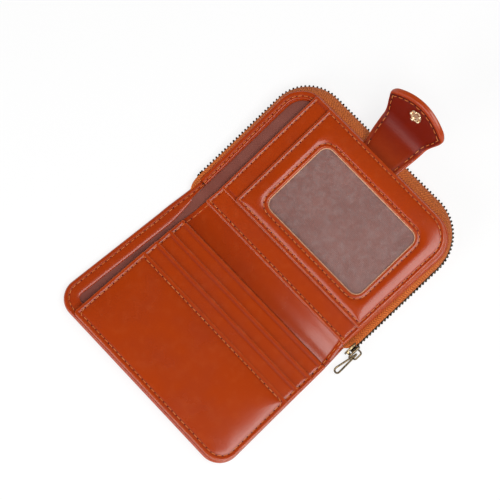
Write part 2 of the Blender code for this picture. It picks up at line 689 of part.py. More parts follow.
def build_slider(frame, looks):
    """Two plates joined by a post at the nose, with flanges that hold the two rows."""
    inner = SLIDER_CHANNEL / 2
    outer = inner + SLIDER_PLATE
    half, wide = SLIDER_LENGTH / 2, SLIDER_WIDTH / 2

    def add_box(low, high):
        bm = bmesh.new()
        corners = ((0, 0), (1, 0), (1, 1), (0, 1))
        pick = (low, high)
        add_loft(bm, [[(pick[u][0], pick[v][1], pick[w][2]) for u, v in corners] for w in (0, 1)])
        return bm

    parts = []
    for side in (-1.0, 1.0):
        near, far = sorted((side * inner, side * outer))
        plate = bmesh.new()
        add_loft(plate, [[(x, y, z) for x, z in plate_outline()] for y in (near, far)])
        parts.append(plate)
        near, far = sorted((side * SLIDER_SLIT / 2, side * (inner + SLIDER_PLATE / 2)))
        for edge in (-1.0, 1.0):
            low_z, high_z = sorted((edge * (wide - SLIDER_FLANGE), edge * (wide - SKIVE / 2)))
            parts.append(add_box((-SLIDER_FLANGE, near, low_z), (half - SLIDER_FLANGE - SKIVE, far, high_z)))
    depth = inner + SLIDER_PLATE / 2
    nose = SLIDER_POST_INSET - half
    parts.append(add_box((nose, -depth, -SLIDER_POST[1] / 2), (nose + SLIDER_POST[0], depth, SLIDER_POST[1] / 2)))
    body = add_piece("slider_body", parts[0], frame, looks["brass"])
    for i, part in enumerate(parts[1:]):
        other = add_piece(f"slider_union_{i}", part, frame, looks["brass"])
        other.hide_render = True
        other.display_type = "WIRE"
        modifier = body.modifiers.new(other.name, "BOOLEAN")
        modifier.operation = "UNION"
        modifier.object = other
    face = -outer
    top = face - BAIL_RISE
    foot = face - GAP
    corner = BAIL_CORNER
    path = [(-BAIL_HALF, foot)]
    path += arc((corner - BAIL_HALF, top + corner), corner, 180, 270, 3)
    path += arc((BAIL_HALF - corner, top + corner), corner, -90, 0, 3)
    path.append((BAIL_HALF, foot))
    wire("slider_bail", [(x, y, 0.0) for x, y in path], BAIL_WIRE, frame, looks["brass"])


def puller_pivot():
    return Vector((0.0, -(SLIDER_CHANNEL / 2 + SLIDER_PLATE + PULLER_STANDOFF), 0.0))


def build_puller(frame, looks):
    """A twisted wire link that swings on the bail. Its near bar lies on the frame's origin."""
    near, far = PULLER_NEAR_HALF, PULLER_FAR_HALF
    reach = PULLER_LENGTH

    def twisted(x, z):
        angle = PULLER_TWIST * (x / reach) ** 2
        return (x, z * math.sin(angle), z * math.cos(angle))

    points = [(0.0, -near + PULLER_WIRE), (0.0, near - PULLER_WIRE), (-PULLER_WIRE, near)]
    points += arc((far - reach, 0.0), far, 90, 270, CORNER_STEPS)
    points.append((-PULLER_WIRE, -near))
    wire("zip_puller", [twisted(x, z) for x, z in points], PULLER_WIRE, frame, looks["brass"], cyclic=True)


# Tab strap

def build_strap_root(frame, looks):
    low = (RIGHT_PANEL_EDGE - STRAP_SEAM, STRAP_MIDDLE - STRAP_HALF_WIDTHS[0])
    high = (STRAP_ROOT_END, STRAP_MIDDLE + STRAP_HALF_WIDTHS[0])
    radii = (SMALL_CORNER,) * 4
    sheet("strap_root", low, high, radii, STRAP_LOW, STRAP_TOP, frame, looks["leather"])


def base_outline(inset):
    start, end = BEND_GAP / 2, STRAP_BASE_LENGTH - BEND_GAP / 2
    near, far = STRAP_HALF_WIDTHS[0] - inset, STRAP_HALF_WIDTHS[1] - inset
    return [(start, -near), (end, -far), (end, far), (start, near)]


def tip_outline(inset):
    """The flared end: a neck that widens in a soft curve, two small round corners and a bowed end."""
    start = BEND_GAP / 2
    neck, wide = STRAP_HALF_WIDTHS[1] - inset, STRAP_HALF_WIDTHS[2] - inset
    corner = STRAP_END_CORNER
    shoulder = STRAP_TIP_LENGTH - STRAP_END_RISE - corner
    side = []
    for i in range(CORNER_STEPS + 1):
        share = i / CORNER_STEPS
        ease = share * share * (3 - 2 * share)
        side.append((start + (shoulder - start) * share, neck + (wide - neck) * ease))
    bow = []
    for i in range(CORNER_STEPS * 2 + 1):
        across = 1 - i / CORNER_STEPS
        rise = (STRAP_END_RISE - inset) * (1 - across * across)
        bow.append((shoulder + corner - inset + rise, (wide - corner / 2) * across))
    lower = [(x, -y) for x, y in side]
    return lower + bow[::-1] + side[::-1]


def strap_layers():
    """Each strap layer's name ending, its low and high height under the hinge line and its inset."""
    lining_low = -STRAP_LEATHER
    leather_low = lining_low - GAP - STRAP_LEATHER
    return (
        ("leather", leather_low, leather_low + STRAP_LEATHER, 0.0),
        ("lining", lining_low, 0.0, STRAP_EDGE_INSET),
    )


def build_strap_base(frame, looks):
    for ending, low, high, inset in strap_layers():
        sections = [lifted(base_outline(inset), low), lifted(base_outline(inset), high)]
        loft(f"strap_base_{ending}", sections, frame, looks["leather"])


def build_strap_tip(frame, looks):
    for ending, low, high, inset in strap_layers():
        sections = [lifted(tip_outline(inset), low), lifted(tip_outline(inset), high)]
        loft(f"strap_tip_{ending}", sections, frame, looks["leather"])
    middle = (SNAP_FROM_BEND, 0.0)
    top = GAP + SOCKET_HEIGHT
    socket = ((SOCKET_RADIUS, GAP), (SOCKET_RADIUS, top - SKIVE), (SOCKET_RADIUS - SKIVE, top))
    turned("snap_socket", middle, socket, frame, looks["gold"], bore=SOCKET_BORE)
    low = -STRAP_STACK - GAP
    cap = ((CAP_RADIUS, low), (CAP_RADIUS, low - CAP_HEIGHT / 2), (CAP_RADIUS * CAP_DOME_SHARE, low - CAP_HEIGHT))
    turned("snap_cap", middle, cap, frame, looks["gold"])


def make_looks():
    return {
        "leather": make_material("tan_leather", (0.42, 0.085, 0.012), 0.3),
        "lining": make_material("maroon_lining", (0.16, 0.035, 0.022), 0.45),
        "board": make_material("grey_board", (0.3, 0.27, 0.22), 0.9),
        "film": make_material("clear_film", (0.9, 0.92, 0.9), 0.05, alpha=0.35),
        "tape": make_material("zip_tape", (0.45, 0.12, 0.02), 0.8),
        "brass": make_material("antique_brass", (0.5, 0.36, 0.18), 0.3, metallic=1.0),
        "gold": make_material("pale_gold", (0.85, 0.66, 0.42), 0.22, metallic=1.0),
    }


def centre_on_bounds(stand):
    """Moves the whole wallet so that the origin lies under the middle of its bounding box."""
    bpy.context.view_layer.update()
    graph = bpy.context.evaluated_depsgraph_get()
    corners = []
    for item in bpy.data.objects:
        if item.type in {"MESH", "CURVE"} and not item.hide_render:
            evaluated = item.evaluated_get(graph)
            mesh = evaluated.to_mesh()
            corners += [evaluated.matrix_world @ vertex.co for vertex in mesh.vertices]
            evaluated.to_mesh_clear()
    middle = [(min(c[k] for c in corners) + max(c[k] for c in corners)) / 2 for k in (0, 1)]
    stand.location = (-middle[0], -middle[1], 0.0)


def build_wallet():
    clear_scene()
    looks = make_looks()
    wallet = make_frame("wallet", Matrix.Identity(4))
    left = make_frame("left_frame", Matrix.Rotation(LEFT_LIFT, 4, "Y"), wallet)
    origin = block_point(0.0, 0.0, 0.0)
    block = make_frame("block_frame", turned_about_y(-POUCH_TILT, origin), wallet)
    slider = make_frame("slider_frame", slider_matrix(), wallet)
    slope = math.asin(slider_matrix().col[0].z)
    puller_turn = Matrix.Translation(puller_pivot()) @ Matrix.Rotation(slope, 4, "Y")
    puller_turn = puller_turn @ Matrix.Rotation(-PULLER_REST, 4, "Z")
    puller = make_frame("puller_frame", puller_turn, slider)
    hinge = Vector((RIGHT_WIDTH, STRAP_MIDDLE, STRAP_TOP))
    strap_base = make_frame("strap_base_frame", turned_about_y(-STRAP_RISE, hinge), block)
    bend = Vector((STRAP_BASE_LENGTH, 0.0, 0.0))
    strap_tip = make_frame("strap_tip_frame", turned_about_y(-STRAP_CURL, bend), strap_base)

    build_left_cover(left, looks)
    build_left_panels(left, looks)
    build_stud(left, looks)
    build_spine(wallet, looks)
    build_middle_wall(block, looks)
    build_right_panels(block, looks)
    build_id_window(block, looks)
    build_pouch_cover(wallet, looks)
    build_tapes(wallet, wallet, looks)
    build_teeth(wallet, wallet, looks)
    build_end_stop(wallet, looks)
    build_slider(slider, looks)
    build_puller(puller, looks)
    build_strap_root(block, looks)
    build_strap_base(strap_base, looks)
    build_strap_tip(strap_tip, looks)
    centre_on_bounds(wallet)


build_wallet()
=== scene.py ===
import math

import bmesh
import bpy
from mathutils import Matrix, Vector, noise
from mathutils.bvhtree import BVHTree
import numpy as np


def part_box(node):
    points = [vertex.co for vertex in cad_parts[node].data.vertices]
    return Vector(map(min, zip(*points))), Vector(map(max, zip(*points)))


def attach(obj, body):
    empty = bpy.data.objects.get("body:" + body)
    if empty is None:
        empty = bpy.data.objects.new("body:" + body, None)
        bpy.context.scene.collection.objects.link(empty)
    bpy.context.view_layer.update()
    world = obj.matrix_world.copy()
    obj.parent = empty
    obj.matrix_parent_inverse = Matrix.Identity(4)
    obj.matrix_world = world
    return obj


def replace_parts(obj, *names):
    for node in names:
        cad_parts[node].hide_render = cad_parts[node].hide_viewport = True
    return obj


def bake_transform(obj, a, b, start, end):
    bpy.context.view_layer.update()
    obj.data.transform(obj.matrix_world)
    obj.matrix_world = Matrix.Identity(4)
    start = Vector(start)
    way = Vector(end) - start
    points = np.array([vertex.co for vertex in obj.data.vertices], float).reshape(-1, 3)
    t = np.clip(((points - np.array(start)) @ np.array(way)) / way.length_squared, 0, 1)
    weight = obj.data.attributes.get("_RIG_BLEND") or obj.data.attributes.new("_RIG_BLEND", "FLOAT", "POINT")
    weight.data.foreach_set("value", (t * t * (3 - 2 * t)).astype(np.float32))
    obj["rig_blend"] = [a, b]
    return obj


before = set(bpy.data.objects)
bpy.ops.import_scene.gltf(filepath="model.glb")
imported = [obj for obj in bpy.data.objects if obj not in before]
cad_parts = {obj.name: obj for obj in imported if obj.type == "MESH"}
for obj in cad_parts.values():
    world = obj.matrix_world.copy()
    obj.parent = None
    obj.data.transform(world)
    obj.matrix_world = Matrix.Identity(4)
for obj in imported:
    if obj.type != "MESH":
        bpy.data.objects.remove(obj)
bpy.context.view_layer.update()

# Sizes in millimetres, as the solids have them
MM = 0.001
PANEL_HALF = 49.1
SPINE_HALF, COVER_START = 13.0, 13.3
LEFT_WIDTH, LEFT_EDGE = 80.3, 79.2
RIGHT_WIDTH, RIGHT_EDGE, RIGHT_REACH = 84.6, 83.4, 83.62
LEFT_LOW, LEFT_HIGH = (51.2, 53.3), (62.0, 65.1)
RIGHT_LOW, RIGHT_HIGH = (49.9, 51.6), (60.5, 61.5)
HEM, LEFT_HEM = 4.2, 8.0
FLOOR_TOP, RIM_TOP, WALL_RIM_TOP = 1.0, 3.2, 2.1
WALL_START = 3.5
ID_PANEL_LOW, BLOCK_TOP = 7.3, 8.9
STUD_HEIGHT, STUD_FROM_FOLD = 2.15, 68.0
TILT = math.radians(9.5)
LEFT_LIFT = math.asin(STUD_HEIGHT / STUD_FROM_FOLD)
MOUTH = 7.0
PLAIN_MOUTH = 33.2
# how far the left half's panels pass PANEL_HALF, at the mouth and at the outer end
LEFT_SPREAD_LOW, LEFT_SPREAD_HIGH = (2.3, 4.7), (1.9, 2.5)
# how far the block's panels lean out at two corners, and the stretch over which it grows
LEAN, LEAN_START, LEAN_RUN = 0.9, 38.0, 11.1

# Outer sides: far edge, reach below and above the middle at the fold and at the far edge, corner
LEFT_SIDE = (-LEFT_WIDTH, LEFT_LOW, LEFT_HIGH, 11.0)
WALL_SIDE = (RIGHT_WIDTH, RIGHT_LOW, RIGHT_HIGH, 15.0)
POUCH_SIDE = (RIGHT_REACH, RIGHT_LOW, RIGHT_HIGH, 15.0)
ZIP_SIDE = (90.1, (53.9, 53.6), (62.4, 63.4), (24.0, 20.0))

# Rounded rectangles: low corner, high corner, the four radii from the low corner round
ID_PANEL = ((18.2, -49.3), (RIGHT_EDGE, 39.1), (1.2, 13.8, 1.2, 1.2))
WINDOW = ((27.0, -38.0), (70.0, 27.6), (5.0,) * 4)
FILM = ((24.0, -41.0), (73.0, 30.6), (7.0,) * 4)

# Stitch rows: distance from the edge, and the pitch along the row
LEFT_SEAM, PANEL_SEAM, WINDOW_SEAM, HEM_SEAM = 2.1, 1.8, 2.0, 2.8
PITCH, WIDE_PITCH = 3.05, 3.3

# Strap: heights and distances along it, from its root bend
STRAP_MIDDLE, STRAP_TOP = 4.3, 5.6
STRAP_BASE, STRAP_TIP = 15.6, 25.16
STRAP_END = STRAP_BASE + STRAP_TIP
STRAP_START = -14.6
ROOT_HALF, MIDDLE_HALF, STRAP_HALF = 11.8, 13.4, 18.0
STRAP_BOW, STRAP_EAR, STRAP_FULLER = 7.6, 3.0, 1.4
STRAP_SEAM, STRAP_END_SEAM = 2.4, 4.5
RISE = math.radians(5.0)
CURL = RISE + math.radians(49.5)
HIDE_HEIGHTS, FACING_HEIGHTS = (-1.9, -1.0), (-0.98, -0.22)
FACING_INSET = 0.7
ROLL_ZONE = 6.5

# Fineness of the meshes
CORNER_POINTS = 8
ALONG_COUNT, UP_COUNT = 30, 44
ZIP_STEPS = 28

# where the padded frame's swell is highest, as a share of the way to the window
CREST = 0.66
# the upper tape's narrowing ends: place past the fold's middle, share of its width
TAPE_TAIL = ((11.2, 0.97), (9.6, 0.86), (8.2, 0.68), (7.0, 0.45), (6.0, 0.2), (5.4, 0.06))

spine_low, spine_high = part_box("spine_leather")
SHIFT = Vector(((spine_low.x + spine_high.x) / 2, spine_low.y + 49.6 * MM, 0.0))
COVER = Matrix.Translation(SHIFT)
LEFT = COVER @ Matrix.Rotation(LEFT_LIFT, 4, "Y")
BLOCK_START = (SPINE_HALF * (1 - math.cos(TILT)), 0.0, WALL_START - SPINE_HALF * math.sin(TILT))
BLOCK = COVER @ Matrix.Translation(Vector(BLOCK_START) * MM) @ Matrix.Rotation(-TILT, 4, "Y")
FOLD_BEND = (
    "left_half", "pouch_block", COVER @ Vector((-0.012, 0, 0)), COVER @ Vector((0.012, 0, 0))
)


def held(value):
    """A value kept between 0 and 1."""
    return min(1.0, max(0.0, value))


def eased(share):
    return share * share * (3 - 2 * share)


def bell(value):
    return math.exp(-(value ** 2))


def between(a, b, share):
    return a + (b - a) * share


def on_left(x, y, h):
    """A point of the left half's plan, in the plan of the cover."""
    return Matrix.Rotation(LEFT_LIFT, 3, "Y") @ Vector((x, y, h))


def on_block(x, y, h):
    """A point of the block's plan, in the plan of the cover under it."""
    return (COVER.inverted() @ BLOCK @ (Vector((x, y, h)) * MM)) / MM


def widened(x, y):
    """The left half's panels widen towards their outer end, as its cover does."""
    spread = LEFT_SPREAD_LOW if y < 0 else LEFT_SPREAD_HIGH
    share = (-x - MOUTH) / (LEFT_EDGE - MOUTH)
    return x, y * (1 + between(*spread, share) / PANEL_HALF)


def leaned(x, y):
    """The block's panels reach lower at their outer corner and higher at the fold."""
    down = held((x - SPINE_HALF) / 60.0) * held((-y - LEAN_START) / LEAN_RUN)
    up = (1.0 - held((x - MOUTH) / 13.0)) * held((y - LEAN_START) / LEAN_RUN)
    return x, y - LEAN * down + LEAN * up


# Material helpers

def put(tree, kind, inputs=None, **settings):
    """Adds a node, then sets its properties and its sockets."""
    node = tree.nodes.new(kind)
    for key, value in settings.items():
        setattr(node, key, value)
    for key, value in (inputs or {}).items():
        socket = node.inputs[key]
        if isinstance(value, bpy.types.NodeSocket):
            tree.links.new(value, socket)
        else:
            socket.default_value = value
    return node


def opaque(colour):
    """A colour as its socket takes it. A socket that gives a colour stays as it is."""
    return (*colour, 1.0) if isinstance(colour, tuple) else colour


def mixed(tree, factor, first, second, blend="MIX"):
    inputs = {0: factor, 6: opaque(first), 7: opaque(second)}
    return put(tree, "ShaderNodeMix", inputs, data_type="RGBA", blend_type=blend).outputs[2]


def ranged(tree, value, low, high, new_low, new_high):
    inputs = {
        "Value": value, "From Min": low, "From Max": high, "To Min": new_low, "To Max": new_high
    }
    return put(tree, "ShaderNodeMapRange", inputs).outputs["Result"]


def maths(tree, operation, first, second=0.0):
    return put(tree, "ShaderNodeMath", {0: first, 1: second}, operation=operation).outputs[0]


def clouds(tree, place, scale, detail=2.0, roughness=0.5, distortion=0.0):
    inputs = {"Vector": place, "Scale": scale, "Detail": detail}
    inputs.update({"Roughness": roughness, "Distortion": distortion})
    return put(tree, "ShaderNodeTexNoise", inputs).outputs["Fac"]


def new_look(name):
    """A new material, its nodes, and the place on the object that its patterns follow."""
    look = bpy.data.materials.new(name)
    look.use_nodes = True
    tree = look.node_tree
    return look, tree, put(tree, "ShaderNodeTexCoord").outputs["Object"]


def finish_look(look, tone, rough, height, strength, distance, **values):
    """Joins colour, roughness and relief to the shader, and sets its other sockets."""
    tree = look.node_tree
    shader = tree.nodes["Principled BSDF"]
    relief = {"Strength": strength, "Distance": distance, "Height": height}
    normal = put(tree, "ShaderNodeBump", relief).outputs["Normal"]
    for label, value in (("Base Color", tone), ("Roughness", rough), ("Normal", normal)):
        tree.links.new(value, shader.inputs[label])
    for label, value in values.items():
        shader.inputs[label.replace("_", " ")].default_value = value
    return look


def new_group(name, inputs, outputs, kind="ShaderNodeTree"):
    tree = bpy.data.node_groups.new(name, kind)
    for label, sort, value in inputs:
        socket = tree.interface.new_socket(
            label, in_out="INPUT", socket_type="NodeSocket" + sort
        )
        if value is not None:
            socket.default_value = value
    for label, sort in outputs:
        tree.interface.new_socket(label, in_out="OUTPUT", socket_type="NodeSocket" + sort)
    return tree, tree.nodes.new("NodeGroupInput"), tree.nodes.new("NodeGroupOutput")


def make_hide_grain():
    """Dyed and waxed hide: cloudy colour, fine pores and creases, darker seams, worn rims."""
    tree, given, out = new_group(
        "hide_grain",
        (
            ("Place", "Vector", None),
            ("Tone", "Color", (0.4, 0.06, 0.01, 1.0)),
            ("Deep Tone", "Color", (0.2, 0.02, 0.004, 1.0)),
            ("Light Tone", "Color", (0.6, 0.12, 0.03, 1.0)),
            ("Cloudiness", "Float", 0.5),
            ("Roughness", "Float", 0.3),
        ),
        (("Colour", "Color"), ("Roughness", "Float"), ("Height", "Float")),
    )
    place, tone, deep, light, cloudiness, roughness = given.outputs[:6]
    cloud = clouds(tree, place, 48.0, 4.0, 0.55)
    blotch = clouds(tree, place, 230.0, 3.0)
    crease = clouds(tree, place, 520.0, 5.0, distortion=0.8)
    pore = {"Vector": place, "Scale": 1500.0, "Randomness": 1.0}
    pores = put(tree, "ShaderNodeTexVoronoi", pore).outputs["Distance"]
    seam, rim = (
        put(tree, "ShaderNodeAttribute", attribute_name=name).outputs["Fac"]
        for name in ("seam", "rim")
    )
    depth = maths(tree, "MULTIPLY", ranged(tree, cloud, 0.35, 0.68, 0.0, 1.0), cloudiness)
    worn = maths(tree, "MULTIPLY", rim, ranged(tree, blotch, 0.3, 0.7, 0.12, 0.5))
    colour = mixed(tree, depth, tone, deep)
    colour = mixed(tree, ranged(tree, blotch, 0.5, 0.8, 0.0, 0.12), colour, light)
    colour = mixed(tree, ranged(tree, pores, 0.0, 0.35, 0.12, 0.0), colour, deep)
    colour = mixed(tree, maths(tree, "MULTIPLY", seam, 0.75), colour, deep)
    colour = mixed(tree, worn, colour, light)
    rough = maths(tree, "ADD", roughness, ranged(tree, cloud, 0.3, 0.7, -0.05, 0.06))
    rough = maths(tree, "ADD", rough, maths(tree, "MULTIPLY", seam, 0.15))
    height = maths(tree, "ADD", maths(tree, "MULTIPLY", crease, 0.6), pores)
    for label, value in (("Colour", colour), ("Roughness", rough), ("Height", height)):
        tree.links.new(value, out.inputs[label])
    return tree


def make_hide_look(name, grain, tone, deep, light, cloudiness, roughness, coat=0.3,
                   specular=0.32, painted_shade_end=None):
    """Hide in three tones, with an optional painted shade that darkens it between a start and an end along
    X, in a given tint.
    """
    look, tree, place = new_look(name)
    given = {"Place": place, "Tone": opaque(tone), "Deep Tone": opaque(deep)}
    given.update({"Light Tone": opaque(light), "Cloudiness": cloudiness, "Roughness": roughness})
    colour, rough, height = put(tree, "ShaderNodeGroup", given, node_tree=grain).outputs[:3]
    if painted_shade_end:
        start, end, shade_tint = painted_shade_end
        # painted shade: the colour is darkened towards the far end along X
        run = put(tree, "ShaderNodeSeparateXYZ", {0: place}).outputs["X"]
        painted_shade = ranged(tree, run, start, end, 0.0, 1.0)
        colour = mixed(tree, painted_shade, colour, shade_tint, "MULTIPLY")
    return finish_look(
        look, colour, rough, height, 0.6, 0.000014,
        Coat_Weight=coat, Coat_Roughness=0.16, Specular_IOR_Level=specular,
    )


def make_lining_look():
    """Satin lining with a fine plain weave."""
    look, tree, place = new_look("maroon_satin_lining")
    waves = []
    for turn in (0.0, math.pi / 2):
        moved = put(tree, "ShaderNodeMapping", {"Vector": place, "Rotation": (0.0, 0.0, turn)})
        wave = {"Vector": moved.outputs[0], "Scale": 420.0, "Distortion": 0.6}
        waves.append(put(tree, "ShaderNodeTexWave", wave).outputs["Fac"])
    weave = maths(tree, "MAXIMUM", *waves)
    cloud = clouds(tree, place, 70.0, 3.0)
    tone = mixed(tree, cloud, (0.17, 0.036, 0.022), (0.27, 0.07, 0.045))
    tone = mixed(tree, ranged(tree, weave, 0.2, 1.0, 0.35, 0.0), tone, (0.09, 0.018, 0.012))
    rough = ranged(tree, cloud, 0.3, 0.7, 0.34, 0.48)
    return finish_look(look, tone, rough, weave, 0.5, 0.00004, Sheen_Weight=0.25)


def make_tape_look():
    """Herringbone tape, woven along its own length."""
    look, tree, place = new_look("herringbone_zip_tape")
    woven = put(tree, "ShaderNodeUVMap", uv_map="tape").outputs[0]
    run, across = put(tree, "ShaderNodeSeparateXYZ", {0: woven}).outputs[:2]
    fold = maths(tree, "PINGPONG", across, 0.0016)
    slant = maths(tree, "ADD", run, maths(tree, "MULTIPLY", fold, 0.95))
    rib = ranged(tree, maths(tree, "PINGPONG", slant, 0.0006), 0.00012, 0.00045, 0.0, 1.0)
    fuzz = clouds(tree, place, 1400.0, 3.0)
    tone = mixed(tree, rib, (0.42, 0.07, 0.006), (0.72, 0.17, 0.02))
    tone = mixed(tree, ranged(tree, fuzz, 0.4, 0.7, 0.0, 0.25), tone, (0.78, 0.22, 0.04))
    height = maths(tree, "ADD", rib, maths(tree, "MULTIPLY", fuzz, 0.5))
    return finish_look(look, tone, ranged(tree, fuzz, 0.3, 0.7, 0.7, 0.9), height, 0.9, 0.0003)


def make_thread_look():
    look, tree, place = new_look("waxed_thread")
    ply = clouds(tree, place, 2600.0)
    wax = clouds(tree, place, 160.0)
    tone = mixed(tree, ply, (0.5, 0.1, 0.015), (0.7, 0.21, 0.045))
    tone = mixed(tree, ranged(tree, wax, 0.45, 0.65, 0.0, 0.35), tone, (0.86, 0.4, 0.16))
    rough = ranged(tree, wax, 0.3, 0.7, 0.55, 0.7)
    return finish_look(look, tone, rough, ply, 0.6, 0.00005, Specular_IOR_Level=0.25)


def make_metal_look(name, bright, dark, tarnish, roughness):
    """Plated metal, rubbed bright on some places and tarnished on others."""
    look, tree, place = new_look(name)
    film = clouds(tree, place, 600.0, 4.0, 0.6)
    shade = ranged(tree, film, tarnish, tarnish + 0.2, 0.0, 1.0)
    rough = maths(tree, "ADD", maths(tree, "MULTIPLY", shade, 0.18), roughness)
    tone = mixed(tree, shade, bright, dark)
    return finish_look(look, tone, rough, clouds(tree, place, 3000.0), 0.3, 0.00002, Metallic=1.0)


def make_film_look():
    """Clear plastic film: see-through where it is faced, glossy, with faint scuffs."""
    look, tree, place = new_look("clear_window_film")
    scuff = clouds(tree, place, 320.0, 3.0, distortion=0.6)
    tone = mixed(tree, scuff, (0.86, 0.87, 0.86), (0.97, 0.97, 0.96))
    rough = ranged(tree, scuff, 0.45, 0.7, 0.04, 0.16)
    clearness = ranged(tree, scuff, 0.4, 0.8, 0.04, 0.08)
    tree.links.new(clearness, tree.nodes["Principled BSDF"].inputs["Alpha"])
    swell = clouds(tree, place, 40.0, 1.0)
    return finish_look(
        look, tone, rough, swell, 0.6, 0.0012, Coat_Weight=1.0, Coat_Roughness=0.04
    )


def make_board_look():
    look, tree, place = new_look("grey_fibre_board")
    pulp = clouds(tree, place, 900.0, 6.0, 0.7)
    tone = mixed(tree, pulp, (0.22, 0.2, 0.16), (0.4, 0.36, 0.3))
    return finish_look(look, tone, ranged(tree, pulp, 0.3, 0.7, 0.8, 0.95), pulp, 0.5, 0.0001)


def make_looks():
    """Each look, and the name of the solids' material slot listed with it."""
    grain = make_hide_grain()
    hide = make_hide_look(
        "glossy_tan_hide", grain, (0.425, 0.043, 0.0015), (0.29, 0.022, 0.001),
        (0.6, 0.13, 0.035), 0.3, 0.24,
    )
    # the strap facing is darkened towards its curled-up far end: painted shade where the end turns away from
    # the light
    strap = make_hide_look(
        "dark_strap_facing", grain, (0.31, 0.032, 0.002), (0.2, 0.012, 0.001),
        (0.45, 0.08, 0.02), 0.4, 0.34, coat=0.05, specular=0.15,
        painted_shade_end=(0.069, 0.083, (0.6, 0.25, 0.1)),
    )
    # a slightly darker copy of the tan hide for the fold's inner strip: painted shade where the fold lies in
    # shade
    fold = make_hide_look(
        "burnished_fold_hide", grain, (0.375, 0.036, 0.0013), (0.26, 0.019, 0.001),
        (0.55, 0.12, 0.03), 0.3, 0.26,
    )
    edge = make_hide_look(
        "pale_edge_paint", grain, (0.74, 0.4, 0.24), (0.5, 0.19, 0.08),
        (0.86, 0.6, 0.42), 0.3, 0.4, coat=0.1,
    )
    hole = make_hide_look(
        "needle_hole_shade", grain, (0.07, 0.01, 0.003), (0.03, 0.004, 0.001),
        (0.1, 0.02, 0.01), 0.5, 0.8, coat=0.0,
    )
    brass = make_metal_look(
        "antique_brass_teeth", (0.12, 0.08, 0.045), (0.018, 0.013, 0.009), 0.36, 0.34
    )
    wire = make_metal_look(
        "antique_brass_wire", (0.36, 0.26, 0.14), (0.08, 0.052, 0.028), 0.4, 0.26
    )
    gold = make_metal_look("pale_gold_plate", (0.9, 0.7, 0.46), (0.62, 0.42, 0.22), 0.55, 0.16)
    return {
        "hide": (hide, "tan_leather"),
        "strap": (strap, "tan_leather"),
        "fold": (fold, "tan_leather"),
        "edge": (edge, "tan_leather"),
        "hole": (hole, "tan_leather"),
        "thread": (make_thread_look(), "tan_leather"),
        "lining": (make_lining_look(), "maroon_lining"),
        "tape": (make_tape_look(), "zip_tape"),
        "brass": (brass, "antique_brass"),
        "wire": (wire, "antique_brass"),
        "gold": (gold, "pale_gold"),
        "film": (make_film_look(), "clear_film"),
        "board": (make_board_look(), "grey_board"),
    }


looks = make_looks()


# Mesh helpers

def add_object(name, data):
    item = bpy.data.objects.new(name, data)
    bpy.context.scene.collection.objects.link(item)
    return item


def mesh_from(name, bm):
    mesh = bpy.data.meshes.new(name)
    bm.to_mesh(mesh)
    bm.free()
    return mesh


def applied_mesh(item):
    """The mesh of an object with its modifiers carried out."""
    graph = bpy.context.evaluated_depsgraph_get()
    return bpy.data.meshes.new_from_object(item.evaluated_get(graph), depsgraph=graph)


def finish_piece(name, bm, look, place=COVER, smooth=True):
    """Makes a mesh object from a shape in millimetres, with its place in its mesh."""
    bmesh.ops.recalc_face_normals(bm, faces=bm.faces)
    mesh = mesh_from(name, bm)
    mesh.transform(place @ Matrix.Scale(MM, 4))
    if smooth:
        mesh.shade_smooth()
        mesh.set_sharp_from_angle(angle=math.radians(44))
    material, slot = looks[look]
    mesh.materials.append(material)
    piece = add_object(name, mesh)
    return piece


def ripple(x, y, size, seed):
    return noise.noise(Vector((x / size, y / size, seed)))


def turns(count):
    """The angles of a full circle in even steps."""
    return [2 * math.pi * k / count for k in range(count)]


def straight(a, b, count, first=0):
    """Even steps from one point of a plan towards another, without the last."""
    return [
        (between(a[0], b[0], i / count), between(a[1], b[1], i / count))
        for i in range(first, count)
    ]


def corner_arc(cx, cy, r, start, steps=CORNER_POINTS):
    """A quarter circle from a start angle in degrees."""
    angles = [math.radians(start + 90 * i / steps) for i in range(steps + 1)]
    return [(cx + r * math.cos(t), cy + r * math.sin(t)) for t in angles]


def rounded_loop(low, high, radii, inset, counts):
    """A rounded rectangle whose number of points doesn't change with the inset."""
    x0, y0 = low[0] + inset, low[1] + inset
    x1, y1 = high[0] - inset, high[1] - inset
    limit = min(x1 - x0, y1 - y0) / 2
    corners = ((x0, y0, 1, 1, 180), (x1, y0, -1, 1, 270), (x1, y1, -1, -1, 0), (x0, y1, 1, -1, 90))
    arcs = []
    # no corner gets sharp, and deep inside they grow rounder again
    for radius, (x, y, sx, sy, start) in zip(radii, corners):
        r = min(max(radius - inset, 0.25) + max(0.0, inset - 2.3) * 0.9, limit)
        arcs.append(corner_arc(x + sx * r, y + sy * r, r, start))
    points = []
    for k, arc in enumerate(arcs):
        points += arc + straight(arc[-1], arcs[(k + 1) % 4][0], counts[k % 2], 1)
    return points


def side_counts(low, high, step=3.0):
    return [max(2, round((far - near) / step)) for near, far in zip(low, high)]


def join_rows(bm, rows, ring=True, closed_ends=True):
    """Faces between rows of vertices, with the first and last row filled."""
    for row, after in zip(rows, rows[1:]):
        count = len(row)
        for i in range(count if ring else count - 1):
            j = (i + 1) % count
            bm.faces.new((row[i], row[j], after[j], after[i]))
    if closed_ends:
        bm.faces.new(rows[0][::-1])
        bm.faces.new(rows[-1])


def fill_across(bm, row, along, up):
    """Fills a rounded loop with strips across its short way, so that a bent sheet has no
    long faces."""
    first = CORNER_POINTS
    right = first + along
    right_end = right + first + up + first
    left = right_end + along
    lower, upper = row[first:right + 1], row[right_end:left + 1][::-1]
    for i in range(along):
        bm.faces.new((lower[i], lower[i + 1], upper[i + 1], upper[i]))
    bm.faces.new(row[right:right_end + 1])
    bm.faces.new(row[left:] + row[:first + 1])


def new_shape():
    """An empty shape whose vertices can carry the wear of rims and the pull of seams."""
    bm = bmesh.new()
    bm.verts.layers.float.new("rim")
    bm.verts.layers.float.new("seam")
    return bm


def add_vert(bm, spot, rim=0.0, seam=0.0):
    """A vertex that carries its wear and its pull for the materials to read."""
    vert = bm.verts.new(spot)
    layers = bm.verts.layers.float
    vert[layers["rim"]] = rim
    vert[layers["seam"]] = seam
    return vert


